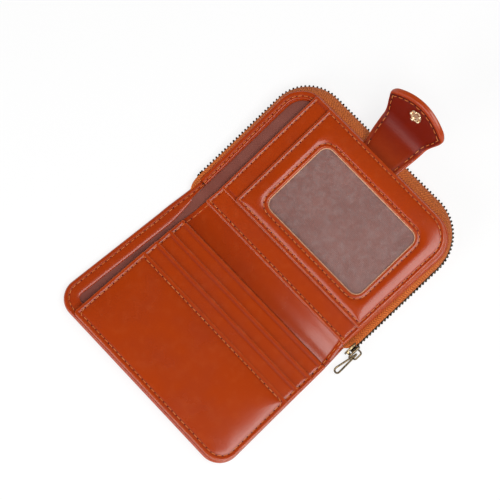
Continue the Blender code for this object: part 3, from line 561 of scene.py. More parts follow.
def half_round(radius, thick, steps):
    """Insets and heights round an edge, from its underside to its top."""
    angles = [math.pi * i / steps - math.pi / 2 for i in range(steps + 1)]
    return [(radius * (1 - math.cos(t)), thick / 2 * (1 + math.sin(t))) for t in angles]


def edge_rows(thick, radius):
    """Insets and heights round a soft edge, from the flat underside to the top."""
    round_rows = half_round(radius, thick, 5)[1:-1]
    return [(radius + 1.2, 0.0), (radius, 0.0)] + round_rows + [(radius, thick)]


def face_height(d, thick, seam, crown=0.0):
    """Height of a sewn and padded face at a distance from its edge."""
    border_swell, crown_run, groove, groove_width = 0.1, 5.0, 0.17, 0.7
    low = thick - crown
    if d < seam:
        height = low + border_swell * math.sin(math.pi * min(d / seam, 1.0))
    else:
        height = low + crown * (1 - math.exp(-(d - seam) / crown_run))
    return height - groove * bell((d - seam) / groove_width) if seam else height


def seam_mark(d, seam):
    return bell((d - seam) / 0.6) if seam else 0.0


def rim_mark(d):
    return bell(d / 0.45)


def sewn_panel(name, place, low, high, radii, bottom, top, look="hide", seam=0.0, crown=0.0,
               wave=0.12, seed=0.0, bent=None, shaped=None):
    """A leather panel with soft edges, a sewn-down border and a slightly crowned middle."""
    fine, coarse, past_seam = 0.35, 2.4, 2.2
    thick = top - bottom
    radius = min(0.5, thick / 2)
    profile = edge_rows(face_height(radius, thick, seam, crown), radius)
    edge_count = len(profile)
    half = min(high[0] - low[0], high[1] - low[1]) / 2 - 0.6
    d = radius + fine
    while d < half:
        profile.append((d, face_height(d, thick, seam, crown)))
        d += fine if d < seam + past_seam else coarse
    under = 0
    if bent:
        below = [(inset, 0.0) for inset, _ in reversed(profile) if inset > 2.0]
        under = len(below)
        profile = below + profile
    counts = side_counts(low, high)
    bm = new_shape()
    rows = []
    for k, (inset, height) in enumerate(profile):
        on_top, on_edge = k >= edge_count + under, k > 3 + under
        wear = rim_mark(inset) if on_edge else 0.0
        pull = seam_mark(inset, seam) if on_top else 0.0
        lift_share = wave * held((inset - 1.0) / 6.0) if on_top else 0.0
        row = []
        for x, y in rounded_loop(low, high, radii, inset, counts):
            if shaped:
                x, y = shaped(x, y)
            spot = (x, y, bottom + height + lift_share * ripple(x, y, 17.0, seed))
            row.append(add_vert(bm, bent(*spot) if bent else spot, wear, pull))
        rows.append(row)
    join_rows(bm, rows, closed_ends=not bent)
    if bent:
        for row in (rows[0], rows[-1]):
            fill_across(bm, row, *counts)
    return finish_piece(name, bm, look, place)


def side_path(near, side, inset=0.0, steps=20):
    """Open outline round the outer side of a half, from the fold's lower end to its upper end."""
    far, low, high, radius = side
    sign = 1.0 if far > 0 else -1.0
    radii = radius if isinstance(radius, tuple) else (radius, radius)
    lower_r, upper_r = [max(r - inset, 0.6) for r in radii]
    reach = abs(far) - inset
    lower = corner_arc(reach - lower_r, inset + lower_r - low[1], lower_r, -90, steps)
    upper = corner_arc(reach - upper_r, high[1] - inset - upper_r, upper_r, 0, steps)
    start, end = (abs(near), inset - low[0]), (abs(near), high[0] - inset)
    points = straight(start, lower[0], ALONG_COUNT) + lower[:-1]
    points += straight(lower[-1], upper[0], UP_COUNT) + upper[:-1]
    points += straight(upper[-1], end, ALONG_COUNT) + [end]
    return [(sign * x, y) for x, y in points]


def hem_rows(rim, hem=HEM):
    """The profile of a turned and sewn edge, from under the floor, round the edge, to the
    floor's top."""
    radius = 1.15
    rows = [(9.0, 0.0), (5.2, 0.0), (3.6, 0.0), (3.2, 0.08), (HEM_SEAM, 0.26), (2.4, 0.1)]
    rows += [(radius + 0.5, 0.0)] + half_round(radius, rim, 8)
    rows += [(1.8, rim), (2.2, rim - 0.05), (HEM_SEAM, rim - 0.2), (3.3, rim - 0.05)]
    rows += [(3.55, rim - 0.02), (3.65 + (hem - HEM) / 2, rim - 0.03), (hem - 0.4, rim - 0.05)]
    rows += [(hem - 0.15, rim - 0.2), (hem, rim - 0.45)]
    shelf = min(2.56, rim - 0.5)
    rows += [(hem, shelf), (HEM - 0.02, shelf), (HEM, FLOOR_TOP)]
    return rows + [(hem + 1.0, FLOOR_TOP), (hem + 4.8, FLOOR_TOP)]


def hem_mark(inset):
    return seam_mark(inset, HEM_SEAM) if inset < HEM else 0.0


def hemmed_cover(name, place, side, rim, hem=HEM):
    """A cover of one hide, its edge turned over on three sides and sewn down, open at the
    fold."""
    bm = new_shape()
    rows = []
    for inset, height in hem_rows(rim, hem):
        wear = 0.7 * rim_mark(inset) if height > FLOOR_TOP else 0.0
        path = side_path(COVER_START, side, inset)
        rows.append([add_vert(bm, (x, y, height), wear, hem_mark(inset)) for x, y in path])
    join_rows(bm, rows, ring=False)
    bm.faces.new([row[0] for row in rows] + [row[-1] for row in reversed(rows)])
    return finish_piece(name, bm, "hide", place)


# Repeated parts

def make_part(name, sections):
    """A small closed shape from rings of (x, y, z), kept aside as the pattern that is repeated."""
    bm = new_shape()
    join_rows(bm, [[bm.verts.new(Vector(point) * MM) for point in ring] for ring in sections])
    bmesh.ops.recalc_face_normals(bm, faces=bm.faces)
    mesh = mesh_from(name, bm)
    mesh.shade_smooth()
    return add_object(name, mesh)


def stitch_part():
    """One stitch, thick in the middle, whose ends dive into their holes."""
    half = ((0.0, 0.11, 0.21), (0.55, 0.08, 0.2), (1.0, -0.03, 0.16), (1.25, -0.26, 0.09))
    stations = [(-x, z, r) for x, z, r in half[:0:-1]] + list(half)
    return make_part("stitch_pattern", [
        [(x, r * math.cos(t), z + r * math.sin(t)) for t in turns(6)] for x, z, r in stations
    ])


def hole_part():
    rings = ((0.4, -0.3), (0.42, 0.0), (0.3, 0.05))
    return make_part("needle_hole_pattern", [
        [(1.65 + r * math.cos(t), 0.75 * r * math.sin(t), z) for t in turns(8)]
        for r, z in rings
    ])


def tooth_part():
    """One zip tooth: clamped on the tape's edge above, with its locking head below."""
    shape = ((1.55, 0.26, 0.6), (1.3, 0.4, 0.92), (0.3, 0.4, 0.92), (0.05, 0.3, 0.8),
             (-0.3, 0.38, 0.7), (-0.55, 0.22, 0.42))
    sections = []
    for z, x, y in shape:
        plan = ((-x, -y * 0.6), (-x * 0.5, -y), (x * 0.5, -y), (x, -y * 0.6))
        sections.append([(a, b, z) for a, b in plan] + [(-a, -b, z) for a, b in plan])
    return make_part("tooth_pattern", sections)


def make_run_tree(name, part, look):
    """Repeats a part along every line of its input, at an even pitch, turned to the line and
    its up vector."""
    labels = ("Pitch", "Length", "Width")
    tree, given, out = new_group(
        name, [("Lines", "Geometry", None)] + [(label, "Float", None) for label in labels],
        (("Pieces", "Geometry"),), "GeometryNodeTree",
    )
    lines, pitch, length, width = given.outputs[:4]
    curve = put(tree, "GeometryNodeMeshToCurve", {"Mesh": lines}).outputs["Curve"]
    even = put(tree, "GeometryNodeResampleCurve", {"Curve": curve, "Length": pitch}, mode="LENGTH")
    upward = put(
        tree, "GeometryNodeInputNamedAttribute", {"Name": "up"}, data_type="FLOAT_VECTOR"
    )
    along = put(tree, "GeometryNodeInputTangent").outputs["Tangent"]
    axes = {0: upward.outputs["Attribute"], 1: along}
    turn = put(
        tree, "FunctionNodeAxesToRotation", axes, primary_axis="Z", secondary_axis="X"
    )
    size = put(tree, "ShaderNodeCombineXYZ", {"X": length, "Y": width, "Z": 1.0})
    pattern = put(tree, "GeometryNodeObjectInfo", {"Object": part})
    spread = put(tree, "GeometryNodeInstanceOnPoints", {
        "Points": even.outputs["Curve"],
        "Instance": pattern.outputs["Geometry"],
        "Rotation": turn.outputs["Rotation"],
        "Scale": size.outputs["Vector"],
    })
    real = put(tree, "GeometryNodeRealizeInstances", {"Geometry": spread.outputs["Instances"]})
    dressed = put(tree, "GeometryNodeSetMaterial", {
        "Geometry": real.outputs["Geometry"], "Material": looks[look][0],
    })
    tree.links.new(dressed.outputs["Geometry"], out.inputs["Pieces"])
    return tree, looks[look][1]


def run_pieces(name, lines, run_tree, pitch, length=1.0, width=1.0):
    """Runs a repeating tree over lines of (point, up) pairs in metres and keeps the result as
    a plain mesh."""
    tree, slot = run_tree
    points, edges, ups = [], [], []
    for line, closed in lines:
        start = len(points)
        points += [point for point, _ in line]
        ups += [value for _, up in line for value in up]
        edges += [(start + i, start + i + 1) for i in range(len(line) - 1)]
        if closed:
            edges.append((len(points) - 1, start))
    mesh = bpy.data.meshes.new(name + "_lines")
    mesh.from_pydata(points, edges, [])
    mesh.attributes.new("up", "FLOAT_VECTOR", "POINT").data.foreach_set("vector", ups)
    carrier = add_object(name + "_carrier", mesh)
    modifier = carrier.modifiers.new(name, "NODES")
    modifier.node_group = tree
    values = {"Pitch": pitch * MM, "Length": length, "Width": width}
    for item in tree.interface.items_tree:
        if item.item_type == "SOCKET" and item.in_out == "INPUT" and item.name in values:
            modifier[item.identifier] = values[item.name]
    result = applied_mesh(carrier)
    bpy.data.objects.remove(carrier)
    result.name = name
    piece = add_object(name, result)
    return piece


stitch, hole, tooth = stitch_part(), hole_part(), tooth_part()
stitch_tree = make_run_tree("row_of_stitches", stitch, "thread")
hole_tree = make_run_tree("row_of_needle_holes", hole, "hole")
tooth_tree = make_run_tree("row_of_zip_teeth", tooth, "brass")


def faces_of(*pieces):
    """The faces of several pieces, to lay seams on."""
    points, faces = [], []
    for piece in pieces:
        start = len(points)
        points += [vert.co.copy() for vert in piece.data.vertices]
        faces += [[start + i for i in polygon.vertices] for polygon in piece.data.polygons]
    return BVHTree.FromPolygons(points, faces)


def laid_seam(faces, place, plan, closed=False, from_below=False):
    """A line drawn in plan and dropped on the faces, as (point, up) pairs."""
    step, clear = 0.7, 40.0
    dense = []
    ends = plan + plan[:1] if closed else plan
    for a, b in zip(ends, ends[1:]):
        dense += straight(a, b, max(1, round(math.dist(a, b) / step)))
    if not closed:
        dense.append(plan[-1])
    side = -1.0 if from_below else 1.0
    direction = place.to_3x3() @ Vector((0.0, 0.0, -side))
    line = []
    for x, y in dense:
        hit, normal, _, _ = faces.ray_cast(place @ (Vector((x, y, side * clear)) * MM), direction)
        if hit is not None:
            line.append((hit, (normal - direction).normalized()))
    return line, closed


def sew(name, lines, carry, pitch=PITCH):
    """Stitches and their needle holes along lines, carried by a body or bent between two."""
    for label, tree in (("_stitches", stitch_tree), ("_needle_holes", hole_tree)):
        piece = run_pieces(name + label, lines, tree, pitch)
        if isinstance(carry, tuple):
            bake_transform(piece, *carry)
        else:
            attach(piece, carry)


# Left half

def build_left_half():
    cover = hemmed_cover("left_cover", LEFT, LEFT_SIDE, RIM_TOP, LEFT_HEM)
    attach(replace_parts(cover, "cover_leather_left"), "left_half")
    radii = (10.0, 0.8, 0.8, 1.2)
    low = (-LEFT_EDGE, -PANEL_HALF)
    stack = (
        ("left_pocket_base", "pocket_base_left", MOUTH, 3.25, 4.5),
        ("left_slot_4", "card_slot_left_4", 7.5, 4.55, 5.6),
        ("left_slot_3", "card_slot_left_3", 16.0, 5.65, 6.7),
        ("left_slot_2", "card_slot_left_2", 24.8, 6.75, 7.8),
    )
    panels = []
    for i, (name, node, mouth, bottom, top) in enumerate(stack):
        panel = sewn_panel(
            name, LEFT, low, (-mouth, PANEL_HALF), radii, bottom, top,
            seam=LEFT_SEAM, crown=0.12, seed=i, shaped=widened,
        )
        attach(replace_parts(panel, node), "left_half")
        panels.append(panel)
    high = (-PLAIN_MOUTH, PANEL_HALF)
    plain = sewn_panel(
        "left_plain_panel", LEFT, low, high, radii, 7.85, 9.3,
        seam=LEFT_SEAM, crown=1.1, wave=0.1, seed=7.3, shaped=widened,
    )
    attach(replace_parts(plain, "plain_panel_left"), "left_half")
    tops = faces_of(*panels, plain)
    plan = [widened(x, y) for x, y in rounded_loop(low, high, radii, LEFT_SEAM, (10, 30))]
    lines = [laid_seam(tops, LEFT, plan, closed=True)]
    for y in (LEFT_SEAM - PANEL_HALF, PANEL_HALF - LEFT_SEAM):
        row = [widened(1.9 - PLAIN_MOUTH, y), widened(-9.4, y)]
        lines.append(laid_seam(tops, LEFT, row))
    leather = faces_of(cover)
    hem = side_path(COVER_START + 1.0, LEFT_SIDE, HEM_SEAM)
    # inside, the hem's row shows only along the bill compartment's mouth
    lines.append(laid_seam(leather, LEFT, [(x, y) for x, y in hem if y > 53.0]))
    lines.append(laid_seam(leather, LEFT, hem, from_below=True))
    sew("left_half", lines, "left_half")


build_left_half()


# Right block

def ring_panel(name, place, outside, window, bottom, thick):
    """The padded frame round the window: two sewn borders with a soft swell between them."""
    counts = side_counts(*outside[:2], 2.2)
    valley, border = 0.75, 1.15
    swell_end = WINDOW_SEAM + 0.3
    profile = [("outer", inset, height, 0.0) for inset, height in edge_rows(valley, 0.35)]
    for kind, base, seam, stations in (
        ("outer", valley, PANEL_SEAM, (0.6, 0.9, 1.2, 1.5, PANEL_SEAM, 2.0)),
        ("window", border, WINDOW_SEAM, (swell_end, WINDOW_SEAM, 1.6, 1.1, 0.8, 0.45)),
    ):
        if kind == "window":
            profile += [("swell", i / 16, 0.0, 0.0) for i in range(1, 16)]
        profile += [(kind, d, face_height(d, base, seam), seam_mark(d, seam)) for d in stations]
    for d, height in ((0.12, border - 0.1), (0.0, border - 0.35), (0.0, 0.0)):
        profile.append(("window", d, height, 0.0))
    outer_edge = rounded_loop(*outside, 2.0, counts)
    window_edge = rounded_loop(*window, -swell_end, counts)
    bm = new_shape()
    rows = []
    for kind, d, height, pull in profile:
        if kind == "outer":
            spots = [(*spot, height) for spot in rounded_loop(*outside, d, counts)]
        elif kind == "window":
            spots = [(*spot, height) for spot in rounded_loop(*window, -d, counts)]
        else:
            spots = []
            for a, b in zip(outer_edge, window_edge):
                puff = (thick - border) * min(1.0, math.dist(a, b) / 5.5)
                x, y = between(a[0], b[0], d), between(a[1], b[1], d)
                half_turn = d / CREST if d < CREST else (1 - d) / (1 - CREST)
                swell = puff * math.sin(math.pi / 2 * half_turn) ** 0.9
                swell *= 0.97 + 0.06 * ripple(x, y, 16.0, 3.0)
                spots.append((x, y, between(valley, border, d) + swell))
        if kind == "window" and d < 0.5:
            wear = 0.9
        else:
            wear = rim_mark(d) if kind == "outer" and height > 0.2 else 0.0
        rows.append([
            add_vert(bm, (*leaned(x, y), bottom + h), wear, pull) for x, y, h in spots
        ])
    join_rows(bm, rows + rows[:1], closed_ends=False)
    return finish_piece(name, bm, "hide", place)


def edge_bead(name, place, points, radius, look):
    """A thin round bead of paint along a closed line of points in millimetres."""
    bm = new_shape()
    rows = []
    for i, point in enumerate(points):
        after = Vector(points[(i + 1) % len(points)])
        along = (after - Vector(points[i - 1])).normalized()
        side = along.cross(Vector((0, 0, 1))).normalized()
        up = side.cross(along)
        rows.append([
            bm.verts.new(Vector(point) + (side * math.cos(t) + up * math.sin(t)) * radius)
            for t in turns(8)
        ])
    join_rows(bm, rows + rows[:1], closed_ends=False)
    return finish_piece(name, bm, look, place)


def cut_notch(piece, low, high, place):
    """Takes the strap's seat out of a hidden part of a panel."""
    bm = new_shape()
    (x0, y0, z0), (x1, y1, z1) = low, high
    plan = ((x0, y0), (x1, y0), (x1, y1), (x0, y1))
    join_rows(bm, [[bm.verts.new((x, y, z)) for x, y in plan] for z in (z0, z1)])
    cutter = finish_piece(piece.name + "_cutter", bm, "hide", place, smooth=False)
    modifier = piece.modifiers.new("notch", "BOOLEAN")
    modifier.operation = "DIFFERENCE"
    modifier.object = cutter
    result = applied_mesh(piece)
    piece.modifiers.clear()
    piece.data = result
    bpy.data.objects.remove(cutter)


def build_right_block():
    wall = hemmed_cover("right_middle_wall", BLOCK, WALL_SIDE, WALL_RIM_TOP)
    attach(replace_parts(wall, "middle_wall"), "pouch_block")
    edge = 3
    ceiling = sewn_panel(
        "pouch_ceiling_lining", BLOCK, (SPINE_HALF + 12, edge - RIGHT_LOW[0]),
        (RIGHT_WIDTH - edge, RIGHT_HIGH[0] - edge), (0.8, 11.0, 11.0, 0.8), -0.8, -0.3,
        "lining", wave=0.0,
    )
    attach(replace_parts(ceiling, "pouch_lining_top"), "pouch_block")
    seat_half = 12.1
    seat_low = (69.3, STRAP_MIDDLE - seat_half, 3.0)
    seat_high = (90.0, STRAP_MIDDLE + seat_half, 7.0)
    stack = (
        ("right_pocket_base", "pocket_base_right", MOUTH, 2.15, 3.4, 0.6),
        ("right_slot_2", "card_slot_right_2", 7.5, 3.45, 4.5, 0.4),
        ("right_slot_1", "card_slot_right_1", 17.7, 4.55, 5.6, 0.2),
    )
    panels = []
    for i, (name, node, mouth, bottom, top, spread) in enumerate(stack):
        panel = sewn_panel(
            name, BLOCK, (mouth, -PANEL_HALF - spread), (RIGHT_EDGE + spread, PANEL_HALF),
            (0.8, 13.8, 1.2, 0.8), bottom, top, seam=PANEL_SEAM, crown=0.12, wave=0.15,
            seed=11 + i, shaped=leaned,
        )
        if i:
            cut_notch(panel, seat_low, seat_high, BLOCK)
        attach(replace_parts(panel, node), "pouch_block")
        panels.append(panel)
    backing = sewn_panel(
        "id_pocket_back", BLOCK, (ID_PANEL[0][0], -PANEL_HALF), ID_PANEL[1],
        (0.6, 13.8, 0.6, 0.6), 5.9, 6.4, "lining", wave=0.1, seed=21,
    )
    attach(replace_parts(backing, "id_pocket_lining"), "pouch_block")
    film = sewn_panel("id_window_sheet", BLOCK, *FILM, 6.75, 7.0, "film", wave=0.16, seed=31)
    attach(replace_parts(film, "id_window_film"), "pouch_block")
    thick = BLOCK_TOP + 0.2 - ID_PANEL_LOW
    face = ring_panel("id_padded_frame", BLOCK, ID_PANEL, WINDOW, ID_PANEL_LOW, thick)
    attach(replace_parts(face, "id_window_panel"), "pouch_block")
    loop = rounded_loop(*WINDOW, 0.25, side_counts(*WINDOW[:2], 1.5))
    line = [(x, y, ID_PANEL_LOW + 0.32) for x, y in loop]
    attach(edge_bead("window_edge_bead", BLOCK, line, 0.3, "edge"), "pouch_block")
    tops = faces_of(*panels, face)
    counts = (14, 20)
    outer = [leaned(x, y) for x, y in rounded_loop(*ID_PANEL, PANEL_SEAM, counts)]
    lines = [
        laid_seam(tops, BLOCK, outer, closed=True),
        laid_seam(tops, BLOCK, rounded_loop(*WINDOW, -WINDOW_SEAM, counts), closed=True),
    ]
    for row in (
        [(9.2, -46.8), (9.2, 47.6)],
        [(19.6, 47.3), (81.4, 47.3)],
        [(9.2, 47.9), (16.6, 47.5)],
        [(9.2, -47.2), (16.6, -47.2)],
    ):
        lines.append(laid_seam(tops, BLOCK, row))
    hem = side_path(COVER_START + 1.0, WALL_SIDE, HEM_SEAM)
    lines.append(laid_seam(faces_of(wall), BLOCK, hem))
    sew("right_block", lines, "pouch_block")


build_right_block()


# Pouch cover

def build_pouch_cover():
    cover = hemmed_cover("pouch_cover", COVER, POUCH_SIDE, RIM_TOP)
    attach(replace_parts(cover, "cover_leather_right"), "zip_cover")
    edge = HEM + 0.15
    lining = sewn_panel(
        "pouch_floor_lining", COVER, (COVER_START, edge - RIGHT_LOW[0]),
        (RIGHT_REACH - edge, RIGHT_HIGH[0] - edge), (0.6, 10.8, 10.8, 0.6), 2.4, 2.9,
        "lining", wave=0.06, seed=5,
    )
    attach(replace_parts(lining, "pouch_lining_bottom"), "zip_cover")
    leather = faces_of(cover)
    hem = side_path(COVER_START + 1.0, POUCH_SIDE, HEM_SEAM)
    lines = [laid_seam(leather, COVER, hem, from_below=below) for below in (True, False)]
    sew("pouch_cover", lines, "zip_cover", WIDE_PITCH)


build_pouch_cover()


# Fold

def spine_hide():
    """The outer hide across the fold, whose edges run on from both covers' hems."""
    left_profile, right_profile = hem_rows(RIM_TOP, LEFT_HEM)[1:-1], hem_rows(RIM_TOP)[1:-1]
    bm = new_shape()
    rows = []
    stations = 26
    for i in range(stations + 1):
        share = i / stations
        ease = eased(share)
        x = between(-COVER_START, COVER_START, share)
        low = between(LEFT_LOW[0], RIGHT_LOW[0], ease)
        high = between(LEFT_HIGH[0], RIGHT_HIGH[0], ease)
        lift = math.sin(LEFT_LIFT) * max(0.0, -x) * (1 - ease)
        profile = [
            (between(a, b, ease), between(left_h, right_h, ease))
            for (a, left_h), (b, right_h) in zip(left_profile, right_profile)
        ]
        section = [(inset - low, height, inset) for inset, height in profile]
        section += [(high - inset, height, inset) for inset, height in reversed(profile)]
        rows.append([
            add_vert(bm, (x, y, height + lift), seam=hem_mark(inset))
            for y, height, inset in section
        ])
    join_rows(bm, rows)
    return finish_piece("spine_hide", bm, "hide")


def fold_strip():
    """The inner strip across the fold, between its heights on the left half and on the block."""
    half, left_height, block_height, thick = 6.9, 3.35, 2.25, 0.85
    left_ends = (-PANEL_HALF - 2.2, PANEL_HALF + 1.9)
    block_ends = (-PANEL_HALF, PANEL_HALF + 0.9)
    edge = half_round(min(0.45, thick / 2), thick, 4)
    edge += [(2.2, thick), (2.8, thick - 0.2), (3.4, thick)]
    bm = new_shape()
    rows = []
    stations = 20
    for i in range(stations + 1):
        share = i / stations
        low, high = [between(a, b, share) for a, b in zip(left_ends, block_ends)]
        x = between(-half, half, share)
        middle = on_left(x, 0.0, left_height).lerp(on_block(x, 0.0, block_height), eased(share))
        dip = -0.35 * math.sin(math.pi * share) ** 2
        ring = [(low + inset, height) for inset, height in edge]
        ring += [(high - inset, height) for inset, height in reversed(edge)]
        rows.append([bm.verts.new((middle.x, y, middle.z + height + dip)) for y, height in ring])
    join_rows(bm, rows)
    # the strip takes the darker fold hide, a painted shade
    return finish_piece("fold_inner_strip", bm, "fold")


def over_fold(x, y, h):
    """Carries the lining's plan over the fold, from the left half's height to the block's."""
    left_height, block_height, wider = 2.15, 1.3, 0.0125
    ease = eased(held((x + COVER_START) / (2 * COVER_START)))
    y *= 1 + wider * (1 - 2 * ease)
    return on_left(x, y, h + left_height).lerp(on_block(x, y, h + block_height), ease)


def build_fold():
    """The one outer hide, its lining and the inner strip, which bend as the wallet closes."""
    spine, inner = spine_hide(), fold_strip()
    edge = HEM + 0.2
    lining = sewn_panel(
        "bill_pocket_lining", COVER, (edge - LEFT_WIDTH, -46.0), (RIGHT_WIDTH - edge, 56.8),
        (6.6, 10.6, 10.6, 6.6), 0.0, 0.35, "lining", wave=0.05, seed=3, bent=over_fold,
    )
    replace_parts(spine, "spine_leather")
    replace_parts(inner, "spine_inner_panel")
    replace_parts(lining, "bill_lining_left", "bill_lining_right")
    strip, outer = faces_of(inner), faces_of(spine)
    strip_half, strip_rows = 5.6, ((-48.9, -47.3), (48.7, 47.9))
    lines = [
        laid_seam(strip, COVER, [(-strip_half, left_y), (strip_half, right_y)])
        for left_y, right_y in strip_rows
    ]
    # the hems' rows run on across the spine, inside and outside
    half = 11.6
    across = [(half * k / 8, 0.5 + 0.0431 * half * k / 8) for k in range(-8, 9)]
    rows = (
        (HEM_SEAM - LEFT_LOW[0], HEM_SEAM - RIGHT_LOW[0]),
        (LEFT_HIGH[0] - HEM_SEAM, RIGHT_HIGH[0] - HEM_SEAM),
    )
    for below in (False, True):
        for row in rows:
            plan = [(x, between(*row, share)) for x, share in across]
            lines.append(laid_seam(outer, COVER, plan, from_below=below))
    for piece in (spine, inner, lining):
        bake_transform(piece, *FOLD_BEND)
    sew("fold", lines, FOLD_BEND)


build_fold()


# Zip

def chain_points(out=0.0):
    """The line on which the teeth meet, midway between the cover's rim and the wall."""
    points = []
    for x, y in side_path(SPINE_HALF, ZIP_SIDE, -out, ZIP_STEPS):
        rise = WALL_START + (x - SPINE_HALF) * math.tan(TILT)
        points.append(Vector((x, y, (RIM_TOP + rise) / 2)))
    return points


def tape_root(side, inset, wall_height, cover_height):
    """A line of the tape on the edge that it is sewn to: the wall's, or the pouch cover's."""
    if side > 0:
        path = side_path(SPINE_HALF, WALL_SIDE, inset, ZIP_STEPS)
        return [on_block(x, y, wall_height) for x, y in path]
    path = side_path(SPINE_HALF, POUCH_SIDE, inset, ZIP_STEPS)
    return [Vector((x, y, RIM_TOP / 2 + cover_height)) for x, y in path]


def tape_section(root, inner, tooth_line, along, side, size):
    """The middle line of the tape's section, from under the leather's edge to the teeth."""
    behind_teeth, rises, out = 0.45, (0.9, 2.2), 0.75
    back = tooth_line - along.cross(Vector((0, 0, 1))).normalized() * behind_teeth
    foot, turn = [back + Vector((0, 0, side * rise * size)) for rise in rises]
    bulge = (turn - inner).cross(along).normalized() * (out * side * size)
    knee = inner.lerp(turn, 0.5) + bulge
    curve = [
        inner * (1 - u) ** 2 + knee * (2 * u * (1 - u)) + turn * u * u
        for u in (k / 6 for k in range(1, 6))
    ]
    return [root, inner, *curve, turn, foot]


def build_tape(name, node, side):
    """A woven tape that leaves the seam under the leather's edge and turns along its teeth."""
    thick = 0.52
    chain = chain_points()
    sewn = tape_root(side, -0.15, 0.95, 0.1)
    tucked = tape_root(side, 0.6, 0.55, 0.5)
    sizes = [1.0] * len(chain)
    if side > 0:
        # both ends of the upper tape narrow and slip under the edge of the fold
        for end in (0, -1):
            root, inner, outer = tucked[end], sewn[end], chain[end]
            for x, share in TAPE_TAIL:
                place = root + Vector((x - SPINE_HALF, 0.0, (x - SPINE_HALF) * 0.16))
                spot = len(chain) if end else 0
                tucked.insert(spot, place)
                sewn.insert(spot, place + (inner - root) * share)
                chain.insert(spot, place + (outer - root) * share)
                sizes.insert(spot, share)
    bm = new_shape()
    layer = bm.loops.layers.uv.new("tape")
    places = {}
    rows = []
    run = 0.0
    for i, (root, inner, tooth_line, size) in enumerate(zip(tucked, sewn, chain, sizes)):
        after, before = chain[min(i + 1, len(chain) - 1)], chain[max(i - 1, 0)]
        run += (tooth_line - before).length
        along = (after - before).normalized()
        line = tape_section(root, inner, tooth_line, along, side, size)
        upper, lower = [], []
        width = 0.0
        for k, point in enumerate(line):
            ahead, behind = line[min(k + 1, len(line) - 1)], line[max(k - 1, 0)]
            out = (ahead - behind).normalized().cross(along).normalized() * (thick / 2)
            width += (point - behind).length
            for row, spot in ((upper, point + out), (lower, point - out)):
                row.append(bm.verts.new(spot))
                places[row[-1]] = (run * MM, width * MM)
        rows.append(upper + lower[::-1])
    join_rows(bm, rows)
    for face in bm.faces:
        for loop in face.loops:
            loop[layer].uv = places[loop.vert]
    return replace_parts(finish_piece(name, bm, "tape"), node)


def trimmed_line(points, from_start, from_end):
    """Cuts or lengthens both ends of a line by distances measured along it."""
    points[0] = points[0] + (points[1] - points[0]).normalized() * from_start
    points[-1] = points[-1] + (points[-2] - points[-1]).normalized() * from_end
    return points


def build_zip():
    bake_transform(build_tape("upper_zip_tape", "zip_tape_upper", 1.0), *FOLD_BEND)
    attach(build_tape("lower_zip_tape", "zip_tape_lower", -1.0), "zip_cover")
    pitch, length = 2.0, 1.18
    longer_start, shorter_end = 5.0, 2.4
    rows = (
        ("upper_zip_teeth", "zip_teeth_upper", "pouch_block", 1.0, 0.0, 0.1, 0.92),
        ("lower_zip_teeth", "zip_teeth_lower", "zip_cover", -1.0, pitch / 2, -0.3, 0.66),
    )
    for name, node, body, side, offset, out, width in rows:
        line = trimmed_line(chain_points(out), offset - longer_start, shorter_end - offset)
        pairs = [(COVER @ (point * MM), Vector((0.0, 0.0, side))) for point in line]
        piece = run_pieces(name, [(pairs, False)], tooth_tree, pitch, length, width)
        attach(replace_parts(piece, node), body)


build_zip()


# Slider and puller

def refined_copy(name, node, look, bevel, body):
    """A copy of a small metal solid with its edges rounded."""
    bm = new_shape()
    bm.from_mesh(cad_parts[node].data)
    bmesh.ops.remove_doubles(bm, verts=bm.verts, dist=0.000002)
    bmesh.ops.dissolve_limit(bm, angle_limit=math.radians(1.0), verts=bm.verts, edges=bm.edges)
    material, slot = looks[look]
    mesh = mesh_from(name, bm)
    mesh.materials.append(material)
    piece = add_object(name, mesh)
    modifier = piece.modifiers.new("soft_edges", "BEVEL")
    modifier.width = bevel * MM
    modifier.segments = 2
    modifier.limit_method = "ANGLE"
    modifier.angle_limit = math.radians(35)
    piece.data = applied_mesh(piece)
    piece.modifiers.clear()
    piece.data.shade_smooth()
    piece.data.set_sharp_from_angle(angle=math.radians(40))
    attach(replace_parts(piece, node), body)


for name, node, look, bevel, body in (
    ("zip_slider", "slider_body", "wire", 0.14, "slider"),
    ("slider_loop", "slider_bail", "wire", 0.05, "slider"),
    ("puller_loop", "zip_puller", "wire", 0.05, "puller"),
    ("chain_end_stop", "zip_end_stop", "brass", 0.15, "pouch_block"),
):
    refined_copy(name, node, look, bevel, body)


# Strap

FLAT, FIRST, SECOND = [Vector((math.cos(a), math.sin(a))) for a in (0.0, RISE, CURL)]
ROOT_BEND = Vector((RIGHT_WIDTH, STRAP_TOP))
MIDDLE_BEND = ROOT_BEND + FIRST * STRAP_BASE


def strap_line(s):
    """Point and direction of the strap's inner face at a distance s past the root bend."""
    fillet, wide = 4.0, 7.0
    if s < -fillet:
        return ROOT_BEND + FLAT * s, FLAT
    if s < fillet:
        u = (s + fillet) / (2 * fillet)
        a, b, c = ROOT_BEND - FLAT * fillet, ROOT_BEND, ROOT_BEND + FIRST * fillet
    elif s < STRAP_BASE - wide:
        return ROOT_BEND + FIRST * s, FIRST
    elif s < STRAP_BASE + wide:
        u = (s - STRAP_BASE + wide) / (2 * wide)
        a, b, c = MIDDLE_BEND - FIRST * wide, MIDDLE_BEND, MIDDLE_BEND + SECOND * wide
    else:
        return MIDDLE_BEND + SECOND * (s - STRAP_BASE), SECOND
    point = a * (1 - u) ** 2 + b * (2 * u * (1 - u)) + c * u * u
    return point, ((b - a) * (1 - u) + (c - b) * u).normalized()


